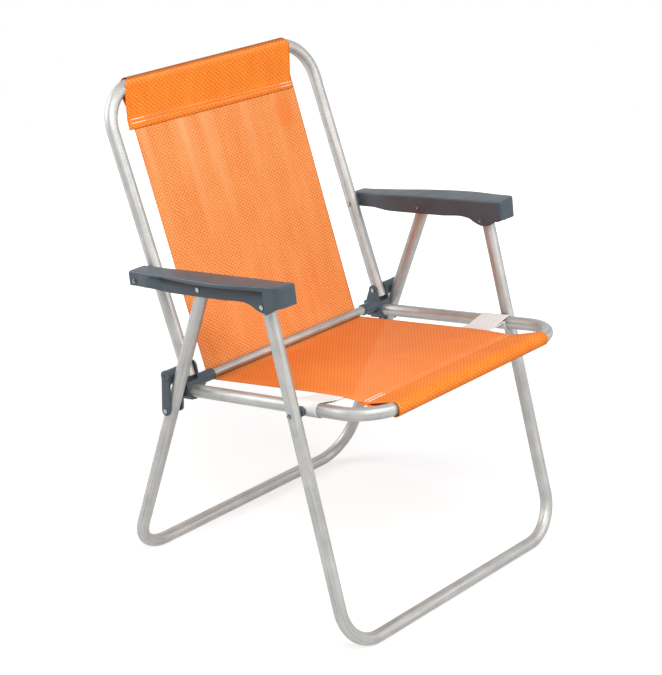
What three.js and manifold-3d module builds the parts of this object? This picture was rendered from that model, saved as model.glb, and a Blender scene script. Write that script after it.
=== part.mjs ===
import * as THREE from 'three';
import { mergeVertices } from 'three/addons/utils/BufferGeometryUtils.js';
import initManifold from 'manifold-3d';

// Folding sling lawn chair: four bent aluminium tube frames, two hollow moulded armrests,
// two hinge brackets, two shackle links, hollow rivets, a mesh sling and a seat strap.
// Millimetres, +Z up, the sitter faces -Y, the floor is z = 0.

// Tube stock
const TUBE_D = 22.2;
const TUBE_WALL = 1.2;
const BEND_RADIUS = 72;
const CROSS_BAR_D = 15.9;
const FIT = 0.4;

// Facets of the round forms
const TUBE_SIDES = 16;
const BEND_STEPS = 5;
const SOCKET_SIDES = 24;
const BOSS_SIDES = 18;
const HOLE_SIDES = 12;
const WRAP_STEPS = 12;
const END_STEPS = 10;
const CORNER_STEPS = 5;
const EDGE_STEPS = 2;
const BAR_STEPS = 8;
const LOOP_SIDES = 18;

// Spacing across the chair, from the middle plane to the tube axes
const LEG_X = 281;
const SEAT_X = 248;

// Side profile: y runs to the rear from the front floor bar, z up from the floor.
// Insets are measured forward from the rear end of the seat tube, rises up from its axis.
const SEAT_FRONT_HEIGHT = 423.6;
const SEAT_OVERHANG = 22.5;
const SEAT_PITCH = 10.06;
const SEAT_LENGTH = 436;
const HINGE_INSET = 18.372;
const HINGE_RISE = 39.458;
const CROSS_BAR_INSET = 20.241;
const CROSS_BAR_RISE = 12.212;
const REAR_FOOT_REACH = 110.4;
const BACK_LEAN = 22.64;
const BACK_LENGTH = 480.5;
const BACK_TAIL = 14;
const FRONT_LEG_TOP = 14;
const REAR_LEG_TOP = 10;

// Armrest pivots, measured along and across the straight lower edge of the armrest
const ARM_UP_BACK = 166.3;
const ARM_PITCH = 8.2;
const ARM_MID = 146.45;
const ARM_MID_RISE = -0.6;
const ARM_FRONT = 288.16;
const ARM_FRONT_RISE = -14;

// Armrest moulding
const ARM_INNER_X = 261.4;
const ARM_WIDTH = 37.8;
const ARM_WALL = 3;
const ARM_STEP = 3.5;
const ARM_REAR = 13.6;
const ARM_NOSE = 48.5;
const ARM_UNDER = 8.4;
const ARM_EDGE = 2.5;
const ARM_ROOF = 3;
const ARM_NOSE_WALL = 5;
const ARM_HOLLOW_START = 12;
const ARM_OUTER_CORNER = 13;
const ARM_INNER_CORNER = 7;
const ARM_REAR_CORNER = 2;
const ARM_BOSS_R = 8;
const ARM_RIB = 2;
const ARM_RIB_DEPTH = 5;
const ARM_RIB_PLACES = [44, 94, 195, 237];

// Armrest top plate: share of the length from the rear end, height of the inner edge,
// rise of the outer edge over it, and bow of the outer edge past the rear end
const ARM_PLATE = [
  [0, 16.4, -0.5, 0],
  [0.07, 16.6, -0.2, 0],
  [0.1, 16.7, 0, 1.2],
  [0.17, 17, 0.5, 2.9],
  [0.24, 17.6, 0.9, 4.4],
  [0.31, 18.2, 1.2, 6.9],
  [0.38, 18.8, 1.5, 10.1],
  [0.45, 19.1, 1.8, 12.8],
  [0.52, 19.4, 2, 15.1],
  [0.59, 19.7, 2.2, 17],
  [0.66, 20.1, 2.3, 17.6],
  [0.73, 20.7, 2.4, 15.7],
  [0.8, 21.1, 2.5, 12.4],
  [0.87, 21.3, 2.6, 9.3],
  [0.93, 21.8, 2.65, 6.7],
  [1, 22.5, 2.7, 4],
];

// Armrest lower edge: forward of the rear pivot and height, then the same from the front pivot
const ARM_BELLY = [[36, -8.4], [50, -9.8], [62, -11.6], [76, -12.6], [95, -12.7], [130, -12.4]];
const ARM_LOBE = [
  [-32, 3.1], [-26, 1.8], [-18, -2.6], [-7, -7.6], [2, -9.6],
  [10, -9.6], [18, -7.6], [26, -3.2], [34, 1], [42, 3], [50, 4],
];

// Armrest ledge under the plate, from the rear pivot, then forward of the front pivot
const ARM_LEDGE_REAR = [[36, 8], [44, 12.6], [73, 13.8], [100, 13.4], [146, 13.8], [175, 14.5], [205, 15.6]];
const ARM_LEDGE_FRONT = [[-48, 16.4], [-18, 16.4], [14, 16.3]];
const ARM_LEDGE_END = 16;

// Link and bracket mouldings
const LINK_LENGTH = 64.8;
const LINK_PLATE = 4.4;
const LINK_END_R = 8.6;
const LINK_BRIDGE = 14.5;
const LINK_PLAY = 1.3;
const LINK_BOSS_R = 9.2;
const LINK_BOSS_RISE = 1;
const LINK_DIMPLE_R = 3;
const LINK_LEG_ROOM = 0.8;
const EAR = 3.7;
const EAR_R = 9.5;
const EAR_ARC = [95, -75];
const EAR_LAP = 0.5;
const EAR_SHOULDER = [0.9, 0.55];
const FORK_FLOOR = 4;
const SOCKET_WALL = 2.4;
const SOCKET_MOUTH = 30.262;
const SOCKET_STOP = 7.316;
const SOCKET_BLIND = 3;
const COLLAR = 5;
const COLLAR_RISE = 0.8;
const RIB = 3;
const RIB_DEPTH = 3;
const RIB_START = 8;
const BAR_SOCKET_PAST_SLING = 2;
const BAR_SOCKET_WALL = 1.7;
const BAR_END_INSET = 8;
const GUSSET_DEPTH = 4;
const GUSSET_START = 16;

// Rivets and spacers
const RIVET_R = 2.6;
const RIVET_BORE_R = 1.5;
const RIVET_HEAD_R = 4.9;
const RIVET_HEAD = 1.2;
const RIVET_RIM = 0.5;
const RIVET_CHAMFER = 1.1;
const RIVET_FIT = 0.3;
const FRONT_PIVOT_FREE = 4.3;
const SPACER_R = 8.6;

// Sling and strap
const SLING_T = 1.2;
const SLING_HALF = 194;
const SLING_SPLIT = 1;
const BACK_HEM = 78;
const SEAT_HEM = 68;
const HEM_FLAT = 12;
const SLEEVE_EASE = 0.5;
const STRAP_W = 58;
const STRAP_T = 1.2;
const STRAP_LEVEL_PAST_SLING = 6;

// Overrun of a cutter past the face it cuts, and of one piece into another that it joins
const OVERRUN = 1;
const SINK = 0.5;
const DEEP = 60;

const TUBE_R = TUBE_D / 2;
const TUBE_CORNER_R = TUBE_R / Math.cos(Math.PI / TUBE_SIDES);
const BAR_R = CROSS_BAR_D / 2;
const BAR_CORNER_R = BAR_R / Math.cos(Math.PI / TUBE_SIDES);
const rad = THREE.MathUtils.degToRad;

const wasm = await initManifold();
wasm.setup();

// Pivot and bar positions in the side profile
const v2 = (y, z) => new THREE.Vector2(y, z);
const along = (from, dir, dist) => from.clone().addScaledVector(dir, dist);
const seatDir = v2(Math.cos(rad(SEAT_PITCH)), -Math.sin(rad(SEAT_PITCH)));
const seatUp = v2(-seatDir.y, seatDir.x);
const backDir = v2(Math.sin(rad(BACK_LEAN)), Math.cos(rad(BACK_LEAN)));
const backRear = v2(backDir.y, -backDir.x);
const armDir = v2(-Math.cos(rad(ARM_PITCH)), Math.sin(rad(ARM_PITCH)));
const armUp = v2(armDir.y, -armDir.x);
const frontFloor = v2(0, TUBE_R);
const seatFront = v2(-SEAT_OVERHANG, SEAT_FRONT_HEIGHT);
const onSeat = (s, n) => along(along(seatFront, seatDir, s), seatUp, n);
const hinge = onSeat(SEAT_LENGTH - HINGE_INSET, HINGE_RISE);
const crossBar = onSeat(SEAT_LENGTH - CROSS_BAR_INSET, CROSS_BAR_RISE);
const rearFloor = v2(hinge.x + REAR_FOOT_REACH, TUBE_R);
const topBar = along(hinge, backDir, BACK_LENGTH);
const armRear = along(hinge, backDir, ARM_UP_BACK);
const onArm = (u, v) => along(along(armRear, armDir, u), armUp, v);
const armMid = onArm(ARM_MID, ARM_MID_RISE);
const armFront = onArm(ARM_FRONT, ARM_FRONT_RISE);
const frontLegDir = armFront.clone().sub(frontFloor).normalize();
const rearLegDir = armMid.clone().sub(rearFloor).normalize();

// The front leg crosses the seat tube at the leg pivot
const crossing = (a, d, b, e) => {
  const w = b.clone().sub(a);
  const t = (w.x * e.y - w.y * e.x) / (d.x * e.y - d.y * e.x);
  return along(a, d, t);
};
const legPivot = crossing(frontFloor, frontLegDir, seatFront, seatDir);

// The lower link pivot lies on the rear leg, one link length below the hinge axis
const hingeToFloor = rearFloor.clone().sub(hinge);
const footDist = hingeToFloor.dot(rearLegDir);
const axisGap = Math.abs(hingeToFloor.cross(rearLegDir));
const linkPivot = along(rearFloor, rearLegDir, -footDist - Math.sqrt(LINK_LENGTH ** 2 - axisGap ** 2));
const linkDir = linkPivot.clone().sub(hinge).normalize();

// Solids
const toSolid = (geometry) => {
  geometry.deleteAttribute('normal');
  geometry.deleteAttribute('uv');
  const g = mergeVertices(geometry, 1e-4);
  const mesh = new wasm.Mesh({
    numProp: 3,
    vertProperties: new Float32Array(g.attributes.position.array),
    triVerts: new Uint32Array(g.index.array),
  });
  mesh.merge();
  return wasm.Manifold.ofMesh(mesh);
};

const toGeometry = (solid) => {
  const mesh = solid.getMesh();
  const g = new THREE.BufferGeometry();
  g.setAttribute('position', new THREE.BufferAttribute(new Float32Array(mesh.vertProperties), 3));
  g.setIndex(new THREE.BufferAttribute(new Uint32Array(mesh.triVerts), 1));
  return g;
};

// Outline points: an arc from one angle to another, both in degrees
const arc = (centre, radius, from, to, steps) => {
  const points = [];
  for (let i = 0; i <= steps; i += 1) {
    const a = rad(from + ((to - from) * i) / steps);
    points.push(v2(centre.x + radius * Math.cos(a), centre.y + radius * Math.sin(a)));
  }
  return points;
};
const angleOf = (d) => THREE.MathUtils.radToDeg(Math.atan2(d.y, d.x));

// A side-profile outline carried across the chair from x0 to x1
const slab = (points, x0, x1, hole) => {
  const shape = new THREE.Shape(points);
  if (hole) {
    shape.holes.push(new THREE.Path(hole));
  }
  const g = new THREE.ExtrudeGeometry(shape, { depth: x1 - x0, bevelEnabled: false });
  const basis = new THREE.Matrix4().makeBasis(
    new THREE.Vector3(0, 1, 0), new THREE.Vector3(0, 0, 1), new THREE.Vector3(1, 0, 0));
  g.applyMatrix4(basis);
  g.translate(x0, 0, 0);
  return toSolid(g);
};

// A round pin or bore along X
const pin = (at, radius, x0, x1, sides) => slab(arc(at, radius, 0, 360 - 360 / sides, sides - 1), x0, x1);

// A path that keeps its own stations: few on the straights, several in each bend
class BentPath extends THREE.Curve {
  constructor(stations) {
    super();
    this.stations = stations;
  }

  station(t) {
    return this.stations[Math.round(t * (this.stations.length - 1))];
  }

  getPointAt(t) {
    return this.station(t).point.clone();
  }

  getTangentAt(t) {
    return this.station(t).tangent.clone();
  }
}

// Stations of a U frame: up one side, round two bends and across the bar, down the other side
const uStations = (bar, dir, length, halfWidth) => {
  const radius = BEND_RADIUS;
  const list = [];
  const add = (x, rise, tx, tr) => {
    list.push({
      point: new THREE.Vector3(x, bar.x + dir.x * rise, bar.y + dir.y * rise),
      tangent: new THREE.Vector3(tx, dir.x * tr, dir.y * tr),
    });
  };
  add(-halfWidth, length, 0, -1);
  for (let i = 0; i <= BEND_STEPS; i += 1) {
    const a = (Math.PI / 2) * (i / BEND_STEPS);
    add(-halfWidth + radius * (1 - Math.cos(a)), radius * (1 - Math.sin(a)), Math.sin(a), -Math.cos(a));
  }
  for (let i = 0; i <= BEND_STEPS; i += 1) {
    const a = (Math.PI / 2) * (i / BEND_STEPS);
    add(halfWidth - radius * (1 - Math.sin(a)), radius * (1 - Math.cos(a)), Math.cos(a), Math.sin(a));
  }
  add(halfWidth, length, 0, 1);
  return list;
};

// A hollow tube whose flats lie at the true radius, one of them turned to face `down`
const tube = (stations, radius, down) => {
  const path = new BentPath(stations);
  const steps = stations.length - 1;
  const frames = path.computeFrenetFrames(steps, false);
  const mid = Math.floor(steps / 2);
  const turn = THREE.MathUtils.radToDeg(
    Math.atan2(down.dot(frames.binormals[mid]), down.dot(frames.normals[mid])));
  const step = 360 / TUBE_SIDES;
  const ring = (r) => arc(v2(0, 0), r / Math.cos(Math.PI / TUBE_SIDES),
    turn + step / 2, turn + 360 - step / 2, TUBE_SIDES - 1);
  const shape = new THREE.Shape(ring(radius));
  shape.holes.push(new THREE.Path(ring(radius - TUBE_WALL)));
  return toSolid(new THREE.ExtrudeGeometry(shape, { steps, extrudePath: path, bevelEnabled: false }));
};

const DOWN = new THREE.Vector3(0, 0, -1);
const normalOf = (dir) => new THREE.Vector3(0, dir.y, -dir.x);
const SHANK_HOLE = RIVET_R + RIVET_FIT;

// A hole drilled across both side tubes of a frame
const drillBoth = (solid, at, radius, axisX) => {
  const reach = TUBE_D;
  return solid
    .subtract(pin(at, radius, axisX - reach, axisX + reach, HOLE_SIDES))
    .subtract(pin(at, radius, -axisX - reach, -axisX + reach, HOLE_SIDES));
};

// Front leg frame: one tube from armrest to armrest across the front floor bar.
// Its top holes are wide because the folding armrests carry the rivets through them.
const frontLegLength = armFront.distanceTo(frontFloor) + FRONT_LEG_TOP;
const frontLegRun = uStations(frontFloor, frontLegDir, frontLegLength, LEG_X);
const frontLeg = drillBoth(
  drillBoth(tube(frontLegRun, TUBE_R, DOWN), armFront, RIVET_R + FRONT_PIVOT_FREE, LEG_X),
  legPivot, SHANK_HOLE, LEG_X);

// Rear leg frame: one tube from armrest to armrest across the rear floor bar
const rearLegLength = armMid.distanceTo(rearFloor) + REAR_LEG_TOP;
const rearLegRun = uStations(rearFloor, rearLegDir, rearLegLength, LEG_X);
const rearLeg = drillBoth(
  drillBoth(tube(rearLegRun, TUBE_R, DOWN), armMid, SHANK_HOLE, LEG_X),
  linkPivot, SHANK_HOLE, LEG_X);

// Seat frame: the front bar and two side tubes that end inside the hinge brackets
const seatRun = uStations(seatFront, seatDir, SEAT_LENGTH, SEAT_X);
const seatFrame = drillBoth(tube(seatRun, TUBE_R, normalOf(seatDir)), legPivot, SHANK_HOLE, SEAT_X);

// Back frame: the top bar and two side tubes that hang in the hinge brackets
const backRun = uStations(topBar, backDir.clone().negate(), BACK_LENGTH + BACK_TAIL, SEAT_X);
const backFrame = drillBoth(
  drillBoth(tube(backRun, TUBE_R, normalOf(backDir)), armRear, SHANK_HOLE, SEAT_X),
  hinge, SHANK_HOLE, SEAT_X);

// Cross bar: a thinner straight tube that spreads the two hinge brackets
const crossBarEnd = SEAT_X - TUBE_R - EAR - BAR_END_INSET;
const crossBarTube = tube(
  [-1, 1].map((s) => ({
    point: new THREE.Vector3(s * crossBarEnd, crossBar.x, crossBar.y),
    tangent: new THREE.Vector3(1, 0, 0),
  })),
  BAR_R, DOWN);

// Hinge bracket, right hand: a fork for the back tube on top of a blind socket for the seat tube,
// with a second socket reaching inward for the cross bar
const bracket = () => {
  const earIn = SEAT_X - TUBE_R - FIT;
  const earOut = SEAT_X + TUBE_R + FIT;
  const socketR = TUBE_CORNER_R + FIT + SOCKET_WALL;
  const mouth = onSeat(SEAT_LENGTH - SOCKET_MOUTH, 0);
  const end = onSeat(SEAT_LENGTH + SOCKET_STOP, 0);
  const lean = 90 - BACK_LEAN;
  const ear = [
    ...arc(hinge, EAR_R, lean + EAR_ARC[0], lean + EAR_ARC[1], WRAP_STEPS),
    along(end, seatUp, socketR * EAR_SHOULDER[1]),
    along(end, seatUp, -socketR * EAR_LAP),
    along(mouth, seatUp, -socketR * EAR_LAP),
    along(mouth, seatUp, socketR * EAR_SHOULDER[0]),
  ];
  const floor = [
    mouth,
    along(mouth, seatUp, socketR + FORK_FLOOR),
    along(end, seatUp, socketR + FORK_FLOOR),
    end,
  ];
  const socketLength = mouth.distanceTo(end);
  const boreLength = socketLength + OVERRUN - SOCKET_BLIND;
  const barrel = (r, from, length) => {
    const g = new THREE.CylinderGeometry(r, r, length, SOCKET_SIDES);
    g.translate(0, length / 2, 0);
    g.rotateX(rad(-SEAT_PITCH));
    g.translate(SEAT_X, from.x, from.y);
    return toSolid(g);
  };
  const barSocketR = BAR_CORNER_R + FIT + BAR_SOCKET_WALL;
  const barSocketX = SLING_HALF + BAR_SOCKET_PAST_SLING;
  const rib = [
    along(mouth, seatUp, OVERRUN - socketR),
    along(end, seatUp, OVERRUN - socketR),
    along(end, seatUp, -socketR - RIB_DEPTH),
    along(along(mouth, seatUp, -socketR - RIB_DEPTH), seatDir, RIB_START),
  ];
  const gusset = [
    v2(crossBar.x - RIB / 2, crossBar.y),
    v2(crossBar.x - RIB / 2, crossBar.y - barSocketR - GUSSET_DEPTH),
    v2(crossBar.x + RIB / 2, crossBar.y - barSocketR - GUSSET_DEPTH),
    v2(crossBar.x + RIB / 2, crossBar.y),
  ];
  const tailRoom = Math.hypot(BACK_TAIL, TUBE_CORNER_R) + FIT;
  return slab(ear, earIn - EAR, earIn)
    .add(slab(ear, earOut, earOut + EAR))
    .add(slab(floor, earIn - EAR, earOut + EAR))
    .add(barrel(socketR, mouth, socketLength))
    .add(barrel(socketR + COLLAR_RISE, mouth, COLLAR))
    .add(slab(rib, SEAT_X - RIB / 2, SEAT_X + RIB / 2))
    .add(pin(crossBar, barSocketR, barSocketX, earIn, SOCKET_SIDES))
    .add(slab(gusset, barSocketX + GUSSET_START, earIn))
    .subtract(barrel(TUBE_CORNER_R + FIT, along(mouth, seatDir, -OVERRUN), boreLength))
    .subtract(pin(crossBar, BAR_CORNER_R + FIT, barSocketX - OVERRUN, crossBarEnd + FIT, SOCKET_SIDES))
    .subtract(pin(hinge, tailRoom, earIn, earOut, SOCKET_SIDES))
    .subtract(pin(hinge, SHANK_HOLE, earIn - EAR - OVERRUN, earOut + EAR + OVERRUN, HOLE_SIDES));
};

// Shackle link, right hand: a plate on each side of the rear leg and a bridge behind it
const linkInner = SEAT_X + TUBE_R + FIT + EAR + FIT;
const linkOuter = LEG_X + TUBE_CORNER_R + LINK_PLAY;
const link = () => {
  const heading = angleOf(linkDir);
  const plate = [
    ...arc(hinge, LINK_END_R, heading + 90, heading + 270, END_STEPS),
    ...arc(linkPivot, LINK_END_R, heading - 90, heading + 90, END_STEPS),
  ];
  const bridge = [
    ...arc(hinge, LINK_END_R, heading + 90, heading + 270, END_STEPS),
    along(along(hinge, linkDir, LINK_BRIDGE), v2(linkDir.y, -linkDir.x), LINK_END_R),
    along(along(hinge, linkDir, LINK_BRIDGE), v2(linkDir.y, -linkDir.x), -LINK_END_R),
  ];
  const roomR = TUBE_CORNER_R + LINK_LEG_ROOM;
  const legRoom = new THREE.CylinderGeometry(roomR, roomR, 2 * LINK_LENGTH, SOCKET_SIDES);
  legRoom.rotateX(Math.atan2(rearLegDir.y, rearLegDir.x));
  legRoom.translate(LEG_X, linkPivot.x, linkPivot.y);
  const face = linkOuter + LINK_PLATE;
  const boss = face + LINK_BOSS_RISE;
  return slab(plate, linkInner, linkInner + LINK_PLATE)
    .add(slab(plate, linkOuter, face))
    .add(slab(bridge, linkInner, face).subtract(toSolid(legRoom)))
    .add(pin(hinge, LINK_BOSS_R, linkOuter, boss, BOSS_SIDES))
    .subtract(pin(hinge, LINK_DIMPLE_R, face, boss + OVERRUN, HOLE_SIDES))
    .subtract(pin(linkPivot, SHANK_HOLE, linkInner - OVERRUN, face + OVERRUN, HOLE_SIDES));
};

// Armrest, right hand: a hollow moulding open underneath. Its top is a plate with rounded edges that
// bows outward over a recessed skirt, and a lobe hangs round the front pivot.
const armOuterX = ARM_INNER_X + ARM_WIDTH;
const skirtX = armOuterX - ARM_STEP;
const armrest = () => {
  const place = (points) => points.map((p) => onArm(p.x, p.y));
  const fromFront = ([u, v]) => v2(ARM_FRONT + u, ARM_FRONT_RISE + v);
  const nose = ARM_FRONT + ARM_NOSE;
  const rear = -ARM_REAR;
  const length = nose - rear;
  const inX = ARM_INNER_X;
  const outX = armOuterX;
  const sizes = ARM_PLATE[0].length - 1;
  const plate = new THREE.LinearInterpolant(
    ARM_PLATE.map(([share]) => share), ARM_PLATE.flatMap((row) => row.slice(1)), sizes);
  const topAt = (x, u) => {
    const [height, rise, bow] = plate.evaluate((u - rear) / length);
    return height + (rise * (x - inX)) / (outX + bow - inX);
  };
  const noseBow = ARM_PLATE[ARM_PLATE.length - 1][sizes];
  const outerCorner = v2(outX + noseBow - ARM_OUTER_CORNER, nose - ARM_OUTER_CORNER);
  const innerCorner = v2(inX + ARM_INNER_CORNER, nose - ARM_INNER_CORNER);
  const plan = new THREE.Shape([
    v2(inX, rear),
    v2(outX - ARM_REAR_CORNER, rear),
    v2(outX, rear + ARM_REAR_CORNER),
    ...ARM_PLATE.slice(1, -1).map((row) => v2(outX + row[sizes], rear + row[0] * length)),
    ...arc(outerCorner, ARM_OUTER_CORNER, 0, 90, CORNER_STEPS),
    ...arc(innerCorner, ARM_INNER_CORNER, 90, 180, CORNER_STEPS),
  ]);
  const block = new THREE.ExtrudeGeometry(plan, {
    depth: DEEP,
    bevelThickness: ARM_EDGE,
    bevelSize: ARM_EDGE,
    bevelOffset: -ARM_EDGE,
    bevelSegments: EDGE_STEPS,
  });
  const spots = block.attributes.position;
  for (let i = 0; i < spots.count; i += 1) {
    spots.setZ(i, spots.getZ(i) + ARM_EDGE - topAt(spots.getX(i), spots.getY(i)));
  }
  block.applyMatrix4(new THREE.Matrix4().makeBasis(
    new THREE.Vector3(1, 0, 0),
    new THREE.Vector3(0, armDir.x, armDir.y),
    new THREE.Vector3(0, -armUp.x, -armUp.y)));
  block.translate(0, armRear.x, armRear.y);
  const side = place([
    v2(rear - OVERRUN, DEEP),
    v2(rear - OVERRUN, ARM_REAR_CORNER + OVERRUN - ARM_UNDER),
    v2(rear + ARM_REAR_CORNER, -ARM_UNDER),
    ...ARM_BELLY.map(([u, v]) => v2(u, v)),
    ...ARM_LOBE.map(fromFront),
    v2(nose + DEEP, DEEP),
  ]);
  const ledge = [
    ...ARM_LEDGE_REAR.map(([u, v]) => v2(u, v)),
    ...ARM_LEDGE_FRONT.map(([u, v]) => v2(ARM_FRONT + u, v)),
  ];
  const recess = place([
    v2(ledge[0].x, -DEEP),
    ...ledge,
    v2(ARM_FRONT + ARM_LEDGE_END, -DEEP),
  ]);
  const roofAt = (u) => topAt(inX, u) - ARM_ROOF;
  const noseWall = nose - ARM_NOSE_WALL;
  const hollow = place([
    v2(ARM_HOLLOW_START, -DEEP),
    v2(ARM_HOLLOW_START, roofAt(ARM_HOLLOW_START) - ARM_WALL),
    v2(ARM_HOLLOW_START + ARM_WALL, roofAt(ARM_HOLLOW_START)),
    v2(noseWall - ARM_WALL, roofAt(noseWall)),
    v2(noseWall, roofAt(noseWall) - ARM_WALL),
    v2(noseWall, -DEEP),
  ]);
  const hollowIn = inX + ARM_WALL;
  const hollowOut = skirtX - ARM_WALL;
  const ribs = ARM_RIB_PLACES.map((u) => slab(place([
    v2(u, roofAt(u) - ARM_RIB_DEPTH),
    v2(u + ARM_RIB, roofAt(u) - ARM_RIB_DEPTH),
    v2(u + ARM_RIB, roofAt(u) + OVERRUN),
    v2(u, roofAt(u) + OVERRUN),
  ]), hollowIn - SINK, hollowOut + SINK));
  const bossFace = LEG_X - TUBE_CORNER_R - FIT;
  let solid = slab(side, inX - OVERRUN, outX + DEEP)
    .intersect(toSolid(block))
    .subtract(slab(recess, skirtX, outX + DEEP))
    .subtract(slab(hollow, hollowIn, hollowOut));
  ribs.forEach((rib) => {
    solid = solid.add(rib);
  });
  return solid
    .add(pin(armRear, ARM_BOSS_R, SEAT_X + TUBE_R + FIT, inX + SINK, BOSS_SIDES))
    .add(pin(armMid, ARM_BOSS_R, hollowIn - SINK, bossFace, BOSS_SIDES))
    .add(pin(armFront, ARM_BOSS_R, hollowIn - SINK, bossFace, BOSS_SIDES))
    .subtract(pin(armRear, SHANK_HOLE, SEAT_X, outX + OVERRUN, HOLE_SIDES))
    .subtract(pin(armMid, SHANK_HOLE, inX - OVERRUN, outX + OVERRUN, HOLE_SIDES))
    .subtract(pin(armFront, SHANK_HOLE, inX - OVERRUN, outX + OVERRUN, HOLE_SIDES));
};

// Hollow rivet along X, right hand: a rolled flange at each end that has one, plain otherwise
const rivet = (at, inner, outer, innerHead, outerHead) => {
  const headed = (face, away) => [
    v2(RIVET_R, face),
    v2(RIVET_HEAD_R, face),
    v2(RIVET_HEAD_R, face + away * RIVET_RIM),
    v2(RIVET_HEAD_R - RIVET_CHAMFER, face + away * RIVET_HEAD),
    v2(RIVET_BORE_R, face + away * RIVET_HEAD),
  ];
  const plain = (face) => [v2(RIVET_R, face), v2(RIVET_BORE_R, face)];
  const low = innerHead ? headed(inner, -1) : plain(inner);
  const high = outerHead ? headed(outer, 1) : plain(outer);
  const profile = [...low.reverse(), ...high, low[0]];
  const g = new THREE.LatheGeometry(profile, HOLE_SIDES);
  g.rotateZ(-Math.PI / 2);
  g.translate(0, at.x, at.y);
  return toSolid(g);
};

// Leg spacer, right hand: a moulded washer that holds the front leg clear of the seat tube
const strapOuterR = TUBE_CORNER_R + FIT + STRAP_T;
const spacer = () => {
  const g = new THREE.LatheGeometry([
    v2(SHANK_HOLE, SEAT_X + strapOuterR + FIT),
    v2(SPACER_R, SEAT_X + strapOuterR + FIT),
    v2(SPACER_R, LEG_X - TUBE_CORNER_R - FIT),
    v2(SHANK_HOLE, LEG_X - TUBE_CORNER_R - FIT),
    v2(SHANK_HOLE, SEAT_X + strapOuterR + FIT),
  ], SOCKET_SIDES);
  g.rotateZ(-Math.PI / 2);
  g.translate(0, legPivot.x, legPivot.y);
  return toSolid(g);
};

// A sleeve sewn round a bar: its two layers close like a wedge on a seam in line with the bar's axis
const wrapR = TUBE_CORNER_R + FIT + SLEEVE_EASE;
const sleeveArc = (bar, radius, apex) => {
  const towards = angleOf(apex.clone().sub(bar));
  const open = THREE.MathUtils.radToDeg(Math.acos(radius / apex.distanceTo(bar)));
  return arc(bar, radius, towards + open, towards + 360 - open, WRAP_STEPS);
};

// Back panel of the sling: behind the cross bar, up to the seam, over the top bar and down to the hem
const barInside = BAR_CORNER_R + FIT;
const onBack = (s, n) => along(along(topBar, backDir, -s), backRear, n);
const backSling = () => {
  const toBar = crossBar.clone().sub(topBar);
  const lean = (toBar.dot(backRear) + barInside) / -toBar.dot(backDir);
  const onPanel = (s, n) => onBack(s, s * lean + n);
  const panelEnd = BACK_LENGTH - SLING_SPLIT;
  const seam = BACK_HEM - HEM_FLAT;
  const profile = [
    onPanel(panelEnd, 0),
    onPanel(panelEnd, SLING_T),
    onPanel(seam, SLING_T),
    ...sleeveArc(topBar, wrapR + SLING_T, onPanel(seam, 0)),
    onPanel(seam, -SLING_T),
    onPanel(BACK_HEM, -SLING_T),
    onPanel(BACK_HEM, 0),
  ];
  const sleeve = [...sleeveArc(topBar, wrapR, onPanel(seam, 0)), onPanel(seam, 0)];
  return slab(profile, -SLING_HALF, SLING_HALF, sleeve);
};

// Seat panel of the sling: down behind the cross bar, forward beneath it to the seam, over the front
// bar and back to a hem under the seat
const barUp = crossBar.clone().sub(seatFront).dot(seatUp);
const barBack = crossBar.clone().sub(seatFront).dot(seatDir);
const slope = THREE.MathUtils.radToDeg(Math.atan2(barInside + SLING_T - barUp, barBack));
const panelUnder = (s) => -s * Math.tan(rad(slope));
const seatSling = () => {
  const backAngle = angleOf(backRear);
  const inside = barInside;
  const outside = inside + SLING_T;
  const downAngle = angleOf(seatUp) - 180 - slope;
  const joinUp = hinge.clone().sub(crossBar).dot(backDir) - SLING_SPLIT;
  const start = (r) => along(along(crossBar, backDir, joinUp), backRear, r);
  const onPanel = (s, n) => onSeat(s, panelUnder(s) + n);
  const seam = SEAT_HEM - HEM_FLAT;
  const profile = [
    start(inside),
    ...arc(crossBar, inside, backAngle, downAngle, BAR_STEPS),
    onPanel(seam, SLING_T),
    ...sleeveArc(seatFront, wrapR + SLING_T, onPanel(seam, 0)),
    onPanel(seam, -SLING_T),
    onPanel(SEAT_HEM, -SLING_T),
    onPanel(SEAT_HEM, 0),
    ...arc(crossBar, outside, downAngle, backAngle, BAR_STEPS),
    start(outside),
  ];
  const sleeve = [...sleeveArc(seatFront, wrapR, onPanel(seam, 0)), onPanel(seam, 0)];
  return slab(profile, -SLING_HALF, SLING_HALF, sleeve);
};

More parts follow.
